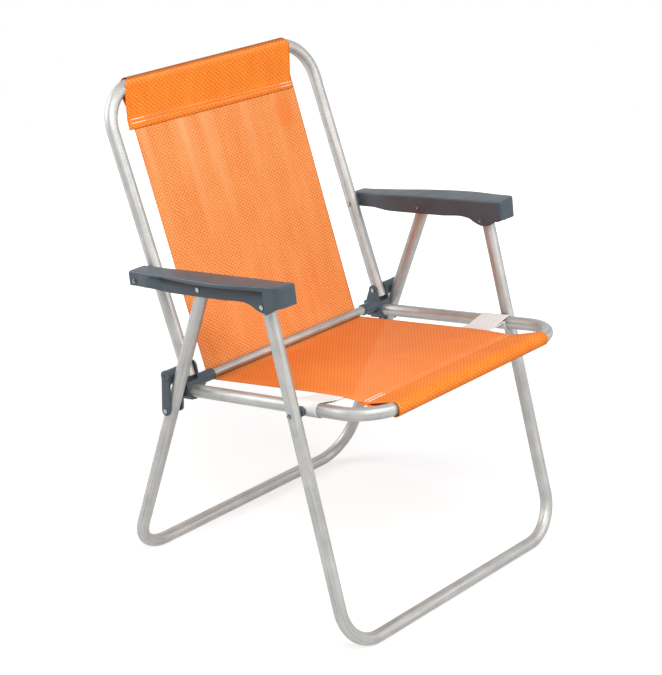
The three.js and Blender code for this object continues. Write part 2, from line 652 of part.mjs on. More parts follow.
// Seat strap: a flat woven band under the seat panel, looped round both seat tubes at the leg pivot
const seatStrap = () => {
  const pivotAlong = legPivot.clone().sub(seatFront).dot(seatDir);
  const level = Math.min(panelUnder(pivotAlong - STRAP_W / 2), panelUnder(pivotAlong + STRAP_W / 2)) - FIT;
  const half = [
    v2(SEAT_X, strapOuterR),
    v2(SLING_HALF + STRAP_LEVEL_PAST_SLING, level),
    v2(-SLING_HALF - STRAP_LEVEL_PAST_SLING, level),
    v2(-SEAT_X, strapOuterR),
  ];
  const band = new THREE.Shape([
    ...half,
    ...half.map((p) => v2(p.x, p.y - STRAP_T)).reverse(),
  ]);
  const across = (shape, width) => {
    const g = new THREE.ExtrudeGeometry(shape, { depth: width, bevelEnabled: false });
    g.translate(0, 0, -width / 2);
    g.applyMatrix4(new THREE.Matrix4().makeBasis(
      new THREE.Vector3(1, 0, 0),
      new THREE.Vector3(0, seatUp.x, seatUp.y),
      new THREE.Vector3(0, -seatDir.x, -seatDir.y)));
    const at = along(seatFront, seatDir, pivotAlong);
    g.translate(0, at.x, at.y);
    return toSolid(g);
  };
  const ring = (x, r) => new THREE.Shape(arc(v2(x, 0), r, 0, 360 - 360 / LOOP_SIDES, LOOP_SIDES - 1));
  const looped = across(band, STRAP_W)
    .add(across(ring(SEAT_X, strapOuterR), STRAP_W))
    .add(across(ring(-SEAT_X, strapOuterR), STRAP_W))
    .subtract(across(ring(SEAT_X, strapOuterR - STRAP_T), STRAP_W + 2 * OVERRUN))
    .subtract(across(ring(-SEAT_X, strapOuterR - STRAP_T), STRAP_W + 2 * OVERRUN));
  return drillBoth(looped, legPivot, SHANK_HOLE, SEAT_X);
};

// Materials
const metal = () => new THREE.MeshStandardMaterial({ color: 0xc9c9c6, roughness: 0.38, metalness: 1 });
const steel = () => new THREE.MeshStandardMaterial({ color: 0xd6d6d4, roughness: 0.3, metalness: 1 });
const moulding = () => new THREE.MeshStandardMaterial({ color: 0x4b4f55, roughness: 0.55, metalness: 0 });
const meshCloth = () => new THREE.MeshStandardMaterial({ color: 0xf5822a, roughness: 0.75, metalness: 0 });
const webbing = () => new THREE.MeshStandardMaterial({ color: 0xf0eeea, roughness: 0.85, metalness: 0 });

const chair = new THREE.Group();
chair.name = 'folding_sling_chair';
const place = (name, solid, material) => {
  const mesh = new THREE.Mesh(toGeometry(solid), material);
  mesh.name = name;
  chair.add(mesh);
};
const placePair = (name, solid, material) => {
  place(`${name}_left`, solid.mirror([1, 0, 0]), material());
  place(`${name}_right`, solid, material());
};

place('front_leg_tube', frontLeg, metal());
place('rear_leg_tube', rearLeg, metal());
place('seat_frame_tube', seatFrame, metal());
place('back_frame_tube', backFrame, metal());
place('cross_bar', crossBarTube, metal());
placePair('armrest', armrest(), moulding);
placePair('hinge_bracket', bracket(), moulding);
placePair('link', link(), moulding);
placePair('leg_spacer', spacer(), moulding);
place('sling_back', backSling(), meshCloth());
place('sling_seat', seatSling(), meshCloth());
place('seat_strap', seatStrap(), webbing());

const earFace = SEAT_X + TUBE_R + FIT + EAR;
placePair('rivet_arm_back',
  rivet(armRear, SEAT_X - TUBE_R - FIT, armOuterX + FIT, true, true), steel);
placePair('rivet_arm_rear_leg',
  rivet(armMid, ARM_INNER_X - FIT, skirtX + FIT, true, true), steel);
placePair('rivet_arm_front_leg',
  rivet(armFront, ARM_INNER_X - FIT, skirtX + FIT, true, true), steel);
placePair('rivet_leg_seat',
  rivet(legPivot, SEAT_X - strapOuterR - FIT, LEG_X + TUBE_CORNER_R + FIT, true, true), steel);
placePair('rivet_bracket_back',
  rivet(hinge, SEAT_X - TUBE_R - FIT - EAR - FIT, earFace - FIT, true, false), steel);
placePair('rivet_link_leg',
  rivet(linkPivot, linkInner + FIT, linkOuter + LINK_PLATE + FIT, false, true), steel);

// The origin sits on the floor in the middle of the footprint
const box = new THREE.Box3().setFromObject(chair);
const middle = (box.min.y + box.max.y) / 2;
chair.children.forEach((mesh) => mesh.geometry.translate(0, -middle, 0));
chair.children.forEach((mesh) => mesh.geometry.computeVertexNormals());

export default chair;
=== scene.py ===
import bmesh
import bpy
import numpy as np
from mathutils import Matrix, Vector


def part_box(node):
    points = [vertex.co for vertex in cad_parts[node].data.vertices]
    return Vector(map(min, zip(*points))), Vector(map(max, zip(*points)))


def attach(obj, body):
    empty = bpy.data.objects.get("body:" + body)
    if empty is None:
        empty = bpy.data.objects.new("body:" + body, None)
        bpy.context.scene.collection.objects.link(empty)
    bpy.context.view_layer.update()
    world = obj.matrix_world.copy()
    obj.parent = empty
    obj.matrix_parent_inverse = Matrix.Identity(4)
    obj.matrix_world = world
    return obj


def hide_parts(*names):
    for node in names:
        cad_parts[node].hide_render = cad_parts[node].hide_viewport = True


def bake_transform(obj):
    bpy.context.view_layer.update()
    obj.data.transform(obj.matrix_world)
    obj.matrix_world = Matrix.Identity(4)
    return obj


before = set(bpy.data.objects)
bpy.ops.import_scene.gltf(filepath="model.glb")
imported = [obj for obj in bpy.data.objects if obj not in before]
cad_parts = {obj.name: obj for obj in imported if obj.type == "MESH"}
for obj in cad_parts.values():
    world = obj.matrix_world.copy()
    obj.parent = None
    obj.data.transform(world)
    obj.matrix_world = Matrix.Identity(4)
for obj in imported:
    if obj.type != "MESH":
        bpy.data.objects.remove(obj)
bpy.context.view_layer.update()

# Leg, seat and back frames.
# Each is one length of drawn aluminium tube, 22.2 mm across, bent cold into a U round a
# 72 mm former, drilled for its rivets and left in the satin finish of the drawing die.
MM = 0.001
TUBE_RADIUS = 11.1 * MM
TUBE_WALL = 1.2 * MM
BEND_RADIUS = 72 * MM
TUBE_SIDES = 48
BEND_STEPS = 20
LEG_X = 281 * MM
SEAT_X = 248 * MM
SEAT_PITCH = np.radians(10.06)
SEAT_BAR_AHEAD = 144.1 * MM
SEAT_LENGTH = 436 * MM
BACK_LENGTH = 480.5 * MM
BACK_TAIL = 14 * MM
FRONT_LEG_TOP = 14 * MM
REAR_LEG_TOP = 10 * MM
MERGE_DISTANCE = 0.001 * MM
SHARP_EDGE = np.radians(35)
scene = bpy.context.scene


def pivot(node):
    """Side-profile position (y, z) of a rivet, the middle of its box."""
    low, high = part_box(node)
    return np.array((low + high) / 2)[1:]


def unit(vector):
    """The vector divided by its length."""
    return vector / np.linalg.norm(vector)


def u_frame_path(bar, away, length, half_width):
    """Centre line of a U: down one side, a quarter circle, across the bar, a quarter circle
    and up the other side. Returns points, tangents and the normal of the U's plane."""
    a = np.linspace(0, np.pi / 2, BEND_STEPS + 1)
    bend = np.stack((-half_width + BEND_RADIUS * (1 - np.cos(a)), BEND_RADIUS * (1 - np.sin(a))), 1)
    turn = np.stack((np.sin(a), -np.cos(a)), 1)
    flat = np.concatenate(([[-half_width, length]], bend, bend[::-1] * [-1, 1], [[half_width, length]]))
    heading = np.concatenate(([[0, -1]], turn, turn[::-1] * [1, -1], [[0, 1]]))
    basis = np.array([[1, 0, 0], [0, away[0], away[1]]])
    origin = np.array([0, bar[0], bar[1]])
    return origin + flat @ basis, heading @ basis, np.cross(basis[0], basis[1])


def grid_mesh(name, points, uv, close_rows=False, close_columns=False):
    """Quads between neighbours of a grid of points (rows, columns, 3). uv has one more row or
    column than points where the grid closes on itself. Doubles are merged, faces turned out."""
    rows, columns = points.shape[:2]
    row = np.arange(rows if close_rows else rows - 1)[:, None]
    column = np.arange(columns if close_columns else columns - 1)[None, :]
    corner_rows = np.stack(np.broadcast_arrays(row, row, row + 1, row + 1), -1)
    corner_columns = np.stack(np.broadcast_arrays(column, column + 1, column + 1, column), -1)
    shape = (row.size, column.size, 4)
    corner_rows = np.broadcast_to(corner_rows, shape)
    corner_columns = np.broadcast_to(corner_columns, shape)
    faces = (corner_rows % rows) * columns + corner_columns % columns
    mesh = bpy.data.meshes.new(name)
    mesh.from_pydata(points.reshape(-1, 3).tolist(), [], faces.reshape(-1, 4).tolist())
    layer = mesh.uv_layers.new(name="UVMap")
    layer.data.foreach_set("uv", uv[corner_rows, corner_columns].reshape(-1).astype(np.float32))
    return finished_object(mesh)


def finished_object(mesh):
    """Merges doubles, drops faces that collapsed, turns the faces out and shades smooth, with
    sharp edges kept as edges."""
    work = bmesh.new()
    work.from_mesh(mesh)
    bmesh.ops.remove_doubles(work, verts=work.verts, dist=MERGE_DISTANCE)
    bmesh.ops.dissolve_degenerate(work, edges=work.edges, dist=MERGE_DISTANCE / 10)
    bmesh.ops.recalc_face_normals(work, faces=work.faces)
    work.to_mesh(mesh)
    work.free()
    mesh.shade_smooth()
    mesh.set_sharp_from_angle(angle=SHARP_EDGE)
    piece = bpy.data.objects.new(mesh.name, mesh)
    scene.collection.objects.link(piece)
    return piece


def bent_tube(name, path, tangent, plane_normal, radius):
    """Rings round a path: centre + r (cos a N + sin a B), B the normal of the path's plane and
    N = B x tangent. The outer skin goes out along the path and the bore comes back along it."""
    a = np.linspace(0, 2 * np.pi, TUBE_SIDES, endpoint=False)
    side = np.cross(plane_normal, tangent)
    round_it = np.cos(a)[None, :, None] * side[:, None, :] + np.sin(a)[None, :, None] * plane_normal
    outer = path[:, None, :] + radius * round_it
    bore = path[:, None, :] + (radius - TUBE_WALL) * round_it
    points = np.concatenate((outer, bore[::-1]))
    step = np.linalg.norm(np.diff(path, axis=0), axis=1)
    run = np.concatenate(([0], np.cumsum(step)))
    along = np.concatenate((run, run[::-1], run[:1]))
    across = np.linspace(0, 2 * np.pi * radius, TUBE_SIDES + 1)
    uv = np.stack(np.broadcast_arrays(across[None, :], along[:, None]), -1)
    return grid_mesh(name, points, uv, close_rows=True, close_columns=True)


def linear(hex_code):
    """sRGB hex to linear colour: c / 12.92 up to 0.04045, else ((c + 0.055) / 1.055) ^ 2.4."""
    c = np.array([int(hex_code[i:i + 2], 16) for i in (1, 3, 5)]) / 255
    return (*np.where(c <= 0.04045, c / 12.92, ((c + 0.055) / 1.055) ** 2.4), 1.0)


def set_inputs(tree, node, inputs):
    """Links each socket given in inputs to the node, and sets any other value."""
    for key, value in inputs.items():
        if isinstance(value, bpy.types.NodeSocket):
            tree.links.new(value, node.inputs[key])
        else:
            node.inputs[key].default_value = value


def add(tree, kind, inputs, **settings):
    """Adds a shader node with its settings and inputs."""
    made = tree.nodes.new(kind)
    for key, value in settings.items():
        setattr(made, key, value)
    set_inputs(tree, made, inputs)
    return made


def new_material(name):
    """A material, its node tree and the node of its surface."""
    material = bpy.data.materials.new(name)
    material.use_nodes = True
    return material, material.node_tree, material.node_tree.nodes["Principled BSDF"]


def stretched_noise(tree, size, detail):
    """Strength of a noise on the piece's uv map, its patches of a given size across and along."""
    place = add(tree, "ShaderNodeUVMap", {}, uv_map="UVMap")
    stretch = add(tree, "ShaderNodeMapping", {
        "Vector": place.outputs["UV"], "Scale": (1 / size[0], 1 / size[1], 1)})
    noise = add(tree, "ShaderNodeTexNoise", {
        "Vector": stretch.outputs["Vector"], "Scale": 1.0, "Detail": detail})
    return noise.outputs["Fac"]


# Satin drawn aluminium: a soft, bright grey with fine lines along the tube from the die, and
# faint cloudy patches where it was handled. Its oxide film scatters part of the light, so it is not
# set as a full metal. The lines are drawn at 1.8 mm so that they show.
DRAWN_TONES = ("#969694", "#c5c4c1")
DRAW_LINE = (1.8 * MM, 130 * MM)
CLOUD = 30 * MM
aluminium, tree, surface = new_material("satin_drawn_aluminium")
lines = stretched_noise(tree, DRAW_LINE, 2.0)
where = add(tree, "ShaderNodeTexCoord", {})
cloud = add(tree, "ShaderNodeTexNoise", {
    "Vector": where.outputs["Object"], "Scale": 1 / CLOUD, "Detail": 4.0})
patchy = add(tree, "ShaderNodeMath", {
    0: cloud.outputs["Fac"], 1: 0.5, 2: lines}, operation="MULTIPLY_ADD")
spread = add(tree, "ShaderNodeMapRange", {0: patchy.outputs[0], 1: 0.45, 2: 1.05, 3: 0.0, 4: 1.0})
tone = add(tree, "ShaderNodeMix", {
    0: spread.outputs[0], 6: linear(DRAWN_TONES[0]), 7: linear(DRAWN_TONES[1])}, data_type="RGBA")
streak = add(tree, "ShaderNodeMapRange", {0: lines, 1: 0.3, 2: 0.7, 3: 0.42, 4: 0.56})
relief = add(tree, "ShaderNodeBump", {
    "Height": lines, "Strength": 0.25, "Distance": 0.05 * MM})
set_inputs(tree, surface, {
    "Base Color": tone.outputs[2], "Metallic": 0.8, "Roughness": streak.outputs[0],
    "Normal": relief.outputs["Normal"]})

hinge = pivot("rivet_bracket_back_right")
arm_rear = pivot("rivet_arm_back_right")
arm_mid = pivot("rivet_arm_rear_leg_right")
arm_front = pivot("rivet_arm_front_leg_right")
leg_pivot = pivot("rivet_leg_seat_right")
seat_back_way = np.array([np.cos(SEAT_PITCH), -np.sin(SEAT_PITCH)])
seat_up = np.array([np.sin(SEAT_PITCH), np.cos(SEAT_PITCH)])
seat_bar = leg_pivot - SEAT_BAR_AHEAD * seat_back_way
back_up = unit(arm_rear - hinge)
back_rear = np.array([back_up[1], -back_up[0]])
top_bar = hinge + BACK_LENGTH * back_up
front_floor = np.array([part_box("front_leg_tube")[0].y + TUBE_RADIUS, TUBE_RADIUS])
rear_floor = np.array([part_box("rear_leg_tube")[1].y - TUBE_RADIUS, TUBE_RADIUS])
front_leg_up = unit(arm_front - front_floor)
rear_leg_up = unit(arm_mid - rear_floor)
front_leg_length = np.linalg.norm(arm_front - front_floor) + FRONT_LEG_TOP
rear_leg_length = np.linalg.norm(arm_mid - rear_floor) + REAR_LEG_TOP
for node, body, bar, away, length, half_width in (
    ("front_leg_tube", "front_leg", front_floor, front_leg_up, front_leg_length, LEG_X),
    ("rear_leg_tube", "rear_leg", rear_floor, rear_leg_up, rear_leg_length, LEG_X),
    ("seat_frame_tube", "seat", seat_bar, seat_back_way, SEAT_LENGTH, SEAT_X),
    ("back_frame_tube", "back", top_bar, -back_up, BACK_LENGTH + BACK_TAIL, SEAT_X),
):
    path, tangent, plane_normal = u_frame_path(bar, away, length, half_width)
    frame_tube = bent_tube(node + "_satin", path, tangent, plane_normal, TUBE_RADIUS)
    frame_tube.data.materials.append(aluminium)
    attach(frame_tube, body)
    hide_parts(node)

# Cross bar.
# A thinner straight tube, 15.9 mm across, pressed at each end into the hinge bracket. The
# sling passes behind and under it, so it takes the sitter's weight at the back of the seat.
CROSS_BAR_RADIUS = 7.95 * MM
bar_low, bar_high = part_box("cross_bar")
cross_bar = np.array((bar_low + bar_high) / 2)[1:]
bar_path = np.array([[bar_low.x, *cross_bar], [bar_high.x, *cross_bar]])
bar_way = np.array([[1.0, 0, 0], [1.0, 0, 0]])
bar_tube = bent_tube("cross_bar_satin", bar_path, bar_way, np.array([0, 0, 1.0]), CROSS_BAR_RADIUS)
bar_tube.data.materials.append(aluminium)
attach(bar_tube, "seat")
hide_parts("cross_bar")

# Hinge brackets, shackle links and leg spacers.
# Glass-filled nylon mouldings: a fork and two sockets, two plates with a bridge, and a thick
# washer. Each has the soft edges that a mould leaves.
EDGE_ROUND = 0.7 * MM
ROUND_STEPS = 2
ROUND_FROM = np.radians(40)
FLAT_WITHIN = np.radians(1)

# Moulded nylon, dark slate grey with a fine spark-eroded grain, so its gloss is broad and dull.
# The grain is drawn at 0.8 mm so that it shows.
NYLON_TONES = ("#3f4850", "#505b64")
GRAIN = 0.8 * MM
nylon, tree, surface = new_material("moulded_grey_nylon")
where = add(tree, "ShaderNodeTexCoord", {})
grain = add(tree, "ShaderNodeTexNoise", {
    "Vector": where.outputs["Object"], "Scale": 1 / GRAIN, "Detail": 3.0})
cloud = add(tree, "ShaderNodeTexNoise", {
    "Vector": where.outputs["Object"], "Scale": 1 / CLOUD, "Detail": 3.0})
tone = add(tree, "ShaderNodeMix", {
    0: cloud.outputs["Fac"], 6: linear(NYLON_TONES[0]), 7: linear(NYLON_TONES[1])}, data_type="RGBA")
gloss = add(tree, "ShaderNodeMapRange", {0: cloud.outputs["Fac"], 1: 0.3, 2: 0.7, 3: 0.36, 4: 0.5})
relief = add(tree, "ShaderNodeBump", {
    "Height": grain.outputs["Fac"], "Strength": 0.3, "Distance": 0.06 * MM})
set_inputs(tree, surface, {
    "Base Color": tone.outputs[2], "Roughness": gloss.outputs[0], "IOR": 1.53,
    "Specular IOR Level": 0.3, "Normal": relief.outputs["Normal"]})


def moulded_copy(node, body):
    """A merged copy of a moulding's solid with its flat faces joined and its edges rounded."""
    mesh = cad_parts[node].data.copy()
    mesh.name = node + "_moulded"
    mesh.materials.clear()
    work = bmesh.new()
    work.from_mesh(mesh)
    bmesh.ops.remove_doubles(work, verts=work.verts, dist=MERGE_DISTANCE)
    bmesh.ops.dissolve_limit(work, angle_limit=FLAT_WITHIN, verts=work.verts, edges=work.edges)
    work.to_mesh(mesh)
    work.free()
    piece = finished_object(mesh)
    rounding = piece.modifiers.new("mould_radius", "BEVEL")
    rounding.width = EDGE_ROUND
    rounding.segments = ROUND_STEPS
    rounding.limit_method = "ANGLE"
    rounding.angle_limit = ROUND_FROM
    rounding.harden_normals = True
    mesh.materials.append(nylon)
    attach(piece, body)
    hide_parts(node)


for side in ("left", "right"):
    moulded_copy("hinge_bracket_" + side, "seat")
    moulded_copy("leg_spacer_" + side, "seat")
    moulded_copy("link_" + side, "link_" + side)

# Armrests.
# Hollow nylon mouldings, open underneath, 350 mm long. The flat top leans in a little and its outer
# edge bows out as a rim over the skirt, and a lobe hangs round the front leg's rivet.
ARM_PITCH = np.radians(8.2)

# In millimetres: along the armrest from its rear rivet, up from it, or across from the chair's middle.
ARM_REAR = -13.6
ARM_LENGTH = 350.26
ARM_NOSE = ARM_REAR + ARM_LENGTH
ARM_INNER_X = 261.4
ARM_OUTER_X = 299.2
SKIRT_X = 295.7
ARM_WALL = 3.0
TOP_EDGE = 3.0
NOSE_EDGE = 5.0
TOP_CROWN = 0.5
RIM_LIP = 0.8
RIM_FILLET = 1.2
FOOT_EDGE = 0.6
REAR_CORNER = 2.0
OUTER_CORNER = 13.0
INNER_CORNER = 7.0
RECESS_START = 24.0
RECESS_RAMP = 46.0
RECESS_END = 305.0
RECESS_STOP = 6.0
HOLLOW_START = 12.0
NOSE_WALL = 5.0
HOLLOW_END = ARM_NOSE - NOSE_WALL
STEEP = 0.3
# A depth past the painted shade under the rim, given to points that it does not reach.
UNSHADED_DEPTH = 40.0
END_STEPS = 14
EDGE_STEPS = 6
LIP_STEPS = 3
TOP_STEPS = 12
CLOSING_STEPS = 5
BOSS_RADIUS = 8.0
BOSS_SIDES = 36
BOSS_FIT = 0.3
BOSS_REAR_FACE = (SEAT_X + TUBE_RADIUS) / MM + BOSS_FIT
BOSS_LEG_FACE = (LEG_X - TUBE_RADIUS) / MM - BOSS_FIT
RIB_PLACES = (44.0, 94.0, 195.0, 237.0)
RIB_THICK = 2.0
RIB_DEPTH = 5.0
SUNK = 0.6
# Places of three parts in the list that makes the section.
RIM_UNDERSIDE = 6
RIM_FILLET_PART = 7
SKIRT_PART = 8
# Rows along the armrest: from, to and step, closest where the recess under the rim stops.
ARM_ROWS = ((-10.5, 34, 2.5), (38, 250, 3), (250, 298, 1.5), (298, 306, 0.5), (307, 323.6, 1.5))
# Top plate: share of the length, height of its inner edge, rise to its outer edge, bow outwards.
ARM_PLATE = np.array([
    [0, 16.4, -0.5, 0], [0.07, 16.6, -0.2, 0], [0.1, 16.7, 0, 1.2], [0.17, 17, 0.5, 2.9],
    [0.24, 17.6, 0.9, 4.4], [0.31, 18.2, 1.2, 6.9], [0.38, 18.8, 1.5, 10.1], [0.45, 19.1, 1.8, 12.8],
    [0.52, 19.4, 2, 15.1], [0.59, 19.7, 2.2, 17], [0.66, 20.1, 2.3, 17.6], [0.73, 20.7, 2.4, 15.7],
    [0.8, 21.1, 2.5, 12.4], [0.87, 21.3, 2.6, 9.3], [0.93, 21.8, 2.65, 6.7], [1, 22.5, 2.7, 4]])
# Lower edge and ledge under the rim: distance along the armrest, and height.
ARM_FOOT = np.array([
    [-14, -8.4], [20, -8.4], [36, -8.4], [50, -9.8], [62, -11.6], [76, -12.6], [95, -12.7], [130, -12.4],
    [200, -11.6], [256.2, -10.9], [262.2, -12.2], [270.2, -16.6], [281.2, -21.6], [290.2, -23.6],
    [298.2, -23.6], [306.2, -21.6], [314.2, -17.2], [322.2, -13], [330.2, -11], [338.2, -10]])
ARM_LEDGE = np.array([
    [-14, 8], [36, 8], [44, 12.6], [73, 13.8], [100, 13.4], [146, 13.8], [175, 14.5], [205, 15.6],
    [240, 16.4], [270, 16.4], [302, 16.3], [340, 16.3]])


def smooth_line(x, knots):
    """Cubic through the knots, whose slope at each knot comes from its two neighbours."""
    kx, ky = knots.T
    slope = np.gradient(ky, kx)
    i = np.clip(np.searchsorted(kx, x) - 1, 0, len(kx) - 2)
    h = kx[i + 1] - kx[i]
    t = (x - kx[i]) / h
    start = (2 * t**3 - 3 * t**2 + 1) * ky[i] + (t**3 - 2 * t**2 + t) * h * slope[i]
    return start + (3 * t**2 - 2 * t**3) * ky[i + 1] + (t**3 - t**2) * h * slope[i + 1]


def corner_cut(distance, radius):
    """How far a round corner stands in at a distance from the end: r - sqrt(r^2 - (r - d)^2)."""
    past = np.clip(radius - distance, 0, radius)
    return radius - np.sqrt(radius**2 - past**2)


def between(start, end, steps):
    """Columns from start to end in even steps, the first one left out."""
    return start + (end - start) * np.linspace(0, 1, steps + 1)[None, 1:]


def on_arm(u, v):
    """Side-profile point a distance forward along the armrest from its rear rivet, and above it."""
    forward = np.array([-np.cos(ARM_PITCH), np.sin(ARM_PITCH)])
    upward = np.array([np.sin(ARM_PITCH), np.cos(ARM_PITCH)])
    return arm_rear + MM * (u[..., None] * forward + v[..., None] * upward)


def straight_across(outline, start, end, mirror):
    """A side-profile outline carried straight across, with its ends closed to their middle."""
    middle = np.broadcast_to(outline.mean(0), outline.shape)
    rows = np.stack((middle, outline, outline, middle))
    across = MM * np.array([start, start, end, end]) * (-1 if mirror else 1)
    across = np.broadcast_to(across[:, None, None], (*rows.shape[:2], 1))
    return np.concatenate((across, rows), -1)


def armrest_inside(mirror):
    """Round bosses about the three rivets and cross ribs below the roof, each sunk in its wall."""
    a = np.linspace(0, 2 * np.pi, BOSS_SIDES, endpoint=False)[:, None]
    disc = BOSS_RADIUS * MM * np.concatenate((np.cos(a), np.sin(a)), 1)
    wall = ARM_INNER_X + ARM_WALL - SUNK
    pieces = [straight_across(arm_rear + disc, BOSS_REAR_FACE, ARM_INNER_X + SUNK, mirror)]
    pieces += [straight_across(leg + disc, wall, BOSS_LEG_FACE, mirror) for leg in (arm_mid, arm_front)]
    for place in RIB_PLACES:
        u = place + np.array([0, RIB_THICK, RIB_THICK, 0])
        roof = smooth_line((u - ARM_REAR) / ARM_LENGTH, ARM_PLATE[:, [0, 1]]) - ARM_WALL
        v = roof + np.array([-RIB_DEPTH, -RIB_DEPTH, SUNK, SUNK])
        pieces.append(straight_across(on_arm(u, v), wall, SKIRT_X - ARM_WALL + SUNK, mirror))
    return pieces


def arm_rows():
    """Places of the rows along an armrest, drawn together at its rounded ends and at the ends of
    its hollow."""
    turn = np.linspace(0, np.pi / 2, END_STEPS)
    return np.unique(np.round(np.concatenate((
        ARM_REAR + TOP_EDGE * (1 - np.cos(turn)), *(np.arange(*rows) for rows in ARM_ROWS),
        ARM_NOSE - OUTER_CORNER * (1 - np.sin(turn)), [HOLLOW_START, HOLLOW_START + STEEP],
        [HOLLOW_END - STEEP, HOLLOW_END])), 4))[:, None]


def arm_section(u):
    """Points across and up, round the section at each row: inner wall, top, rim, in under the rim,
    skirt, foot, and back through the hollow. Also how far each lies below the corner under the rim."""
    share = (u - ARM_REAR) / ARM_LENGTH
    end_drop = corner_cut(u - ARM_REAR, TOP_EDGE) + corner_cut(ARM_NOSE - u, NOSE_EDGE)
    inner_top = smooth_line(share, ARM_PLATE[:, [0, 1]]) - end_drop
    outer_top = inner_top + smooth_line(share, ARM_PLATE[:, [0, 2]])
    outer_x = ARM_OUTER_X + smooth_line(share, ARM_PLATE[:, [0, 3]])
    inner_x = np.full_like(u, ARM_INNER_X)
    foot = smooth_line(u, ARM_FOOT)
    ledge = np.interp(u, *ARM_LEDGE.T)
    recess = np.clip((u - RECESS_START) / RECESS_RAMP, 0, 1) * np.clip((RECESS_END - u) / RECESS_STOP, 0, 1)
    recess = recess**2 * (3 - 2 * recess)
    hollow = np.clip((u - HOLLOW_START) / STEEP, 0, 1) * np.clip((HOLLOW_END - u) / STEEP, 0, 1)
    skirt = outer_x + (SKIRT_X - outer_x) * recess
    roof = foot + (inner_top - ARM_WALL - foot) * hollow
    bore_in = inner_x + ARM_WALL
    bore_out = np.full_like(u, SKIRT_X - ARM_WALL)
    wide = np.linspace(0, np.pi / 2, EDGE_STEPS + 1)[None, 1:]
    small = np.linspace(0, np.pi / 2, LIP_STEPS + 1)[None, 1:]
    top_x = between(inner_x + TOP_EDGE, outer_x - TOP_EDGE, TOP_STEPS)
    lean = (top_x - inner_x) / (outer_x - inner_x)
    sections = (
        (inner_x + 0 * wide, between(foot + FOOT_EDGE, inner_top - TOP_EDGE, EDGE_STEPS)),
        (inner_x + TOP_EDGE * (1 - np.cos(wide)), inner_top - TOP_EDGE * (1 - np.sin(wide))),
        (top_x, inner_top + (outer_top - inner_top) * lean + TOP_CROWN * 4 * lean * (1 - lean)),
        (outer_x - TOP_EDGE * (1 - np.sin(wide)), outer_top - TOP_EDGE * (1 - np.cos(wide))),
        (outer_x + 0 * small, between(outer_top - TOP_EDGE, ledge + RIM_LIP, LIP_STEPS)),
        (outer_x - RIM_LIP * (1 - np.cos(small)) * recess, ledge + RIM_LIP * (1 - np.sin(small))),
        (between(outer_x - RIM_LIP * recess, skirt + RIM_FILLET * recess, LIP_STEPS), ledge + 0 * small),
        (skirt + RIM_FILLET * recess * (1 - np.sin(small)), ledge - RIM_FILLET * (1 - np.cos(small))),
        (skirt + 0 * wide, between(ledge - RIM_FILLET, foot + FOOT_EDGE, EDGE_STEPS)),
        (skirt - FOOT_EDGE * (1 - np.cos(small)), foot + FOOT_EDGE * (1 - np.sin(small))),
        (between(skirt - FOOT_EDGE, bore_out, LIP_STEPS), foot + 0 * small),
        (bore_out + 0 * wide, between(foot, roof, EDGE_STEPS)),
        (between(bore_out, bore_in, EDGE_STEPS), roof + 0 * wide),
        (bore_in + 0 * wide, between(roof, foot, EDGE_STEPS)),
        (between(bore_in, inner_x + FOOT_EDGE, LIP_STEPS), foot + 0 * small),
        (inner_x + FOOT_EDGE * (1 - np.sin(small)), foot + FOOT_EDGE * (1 - np.cos(small))))
    below = [np.full_like(part[1] + part[0], UNSHADED_DEPTH) for part in sections]
    below[RIM_UNDERSIDE] = 0 * below[RIM_UNDERSIDE]
    below[RIM_FILLET_PART] = 0 * below[RIM_FILLET_PART]
    below[SKIRT_PART] = ledge - sections[SKIRT_PART][1] + 0 * below[SKIRT_PART]
    depth = np.concatenate(below, 1) * recess + UNSHADED_DEPTH * (1 - recess)
    x = np.concatenate([part[0] for part in sections], 1)
    v = np.concatenate([part[1] for part in sections], 1)
    rear_cut = corner_cut(u - ARM_REAR, REAR_CORNER)
    inner_cut = rear_cut + corner_cut(ARM_NOSE - u, INNER_CORNER)
    outer_cut = rear_cut + corner_cut(ARM_NOSE - u, OUTER_CORNER)
    width = outer_x - inner_x
    return inner_x + inner_cut + (x - inner_x) * (width - inner_cut - outer_cut) / width, v, depth


def closed_ends(rows):
    """Adds rows before and after that shrink evenly to the middle of the first and the last row."""
    shrink = np.linspace(0, 1, CLOSING_STEPS + 1)[:-1, None]
    middle = (rows.max(1, keepdims=True) + rows.min(1, keepdims=True)) / 2
    rear = middle[:1] + (rows[:1] - middle[:1]) * shrink
    nose = middle[-1:] + (rows[-1:] - middle[-1:]) * shrink[::-1]
    return np.concatenate((rear, rows, nose))


def armrest_skin(mirror):
    """Closed skin of an armrest, rows forward along it and columns round its section, and its uv:
    distance along the armrest, and depth below the corner under the rim."""
    u = arm_rows()
    x, v, depth = arm_section(u)
    x = closed_ends(x)
    v = closed_ends(v)
    more_rows = ((CLOSING_STEPS, CLOSING_STEPS), (0, 0))
    u = np.broadcast_to(np.pad(u, more_rows, mode="edge"), x.shape)
    depth = np.pad(depth, more_rows, mode="edge")
    across = MM * x * (-1 if mirror else 1)
    uv = MM * np.stack((u, depth), -1)
    return np.concatenate((across[..., None], on_arm(u, v)), -1), np.concatenate((uv, uv[:, :1]), 1)


def join_shells(piece, shells):
    """Adds closed grids to a piece's mesh as shells of their own, left out of the painted shade under the
    rim.
    """
    work = bmesh.new()
    work.from_mesh(piece.data)
    for points in shells:
        unshaded_uv = np.full((points.shape[0], points.shape[1] + 1, 2), UNSHADED_DEPTH * MM)
        shell = grid_mesh("arm_inside", points, unshaded_uv, close_columns=True)
        work.from_mesh(shell.data)
        bpy.data.meshes.remove(shell.data)
    work.to_mesh(piece.data)
    work.free()
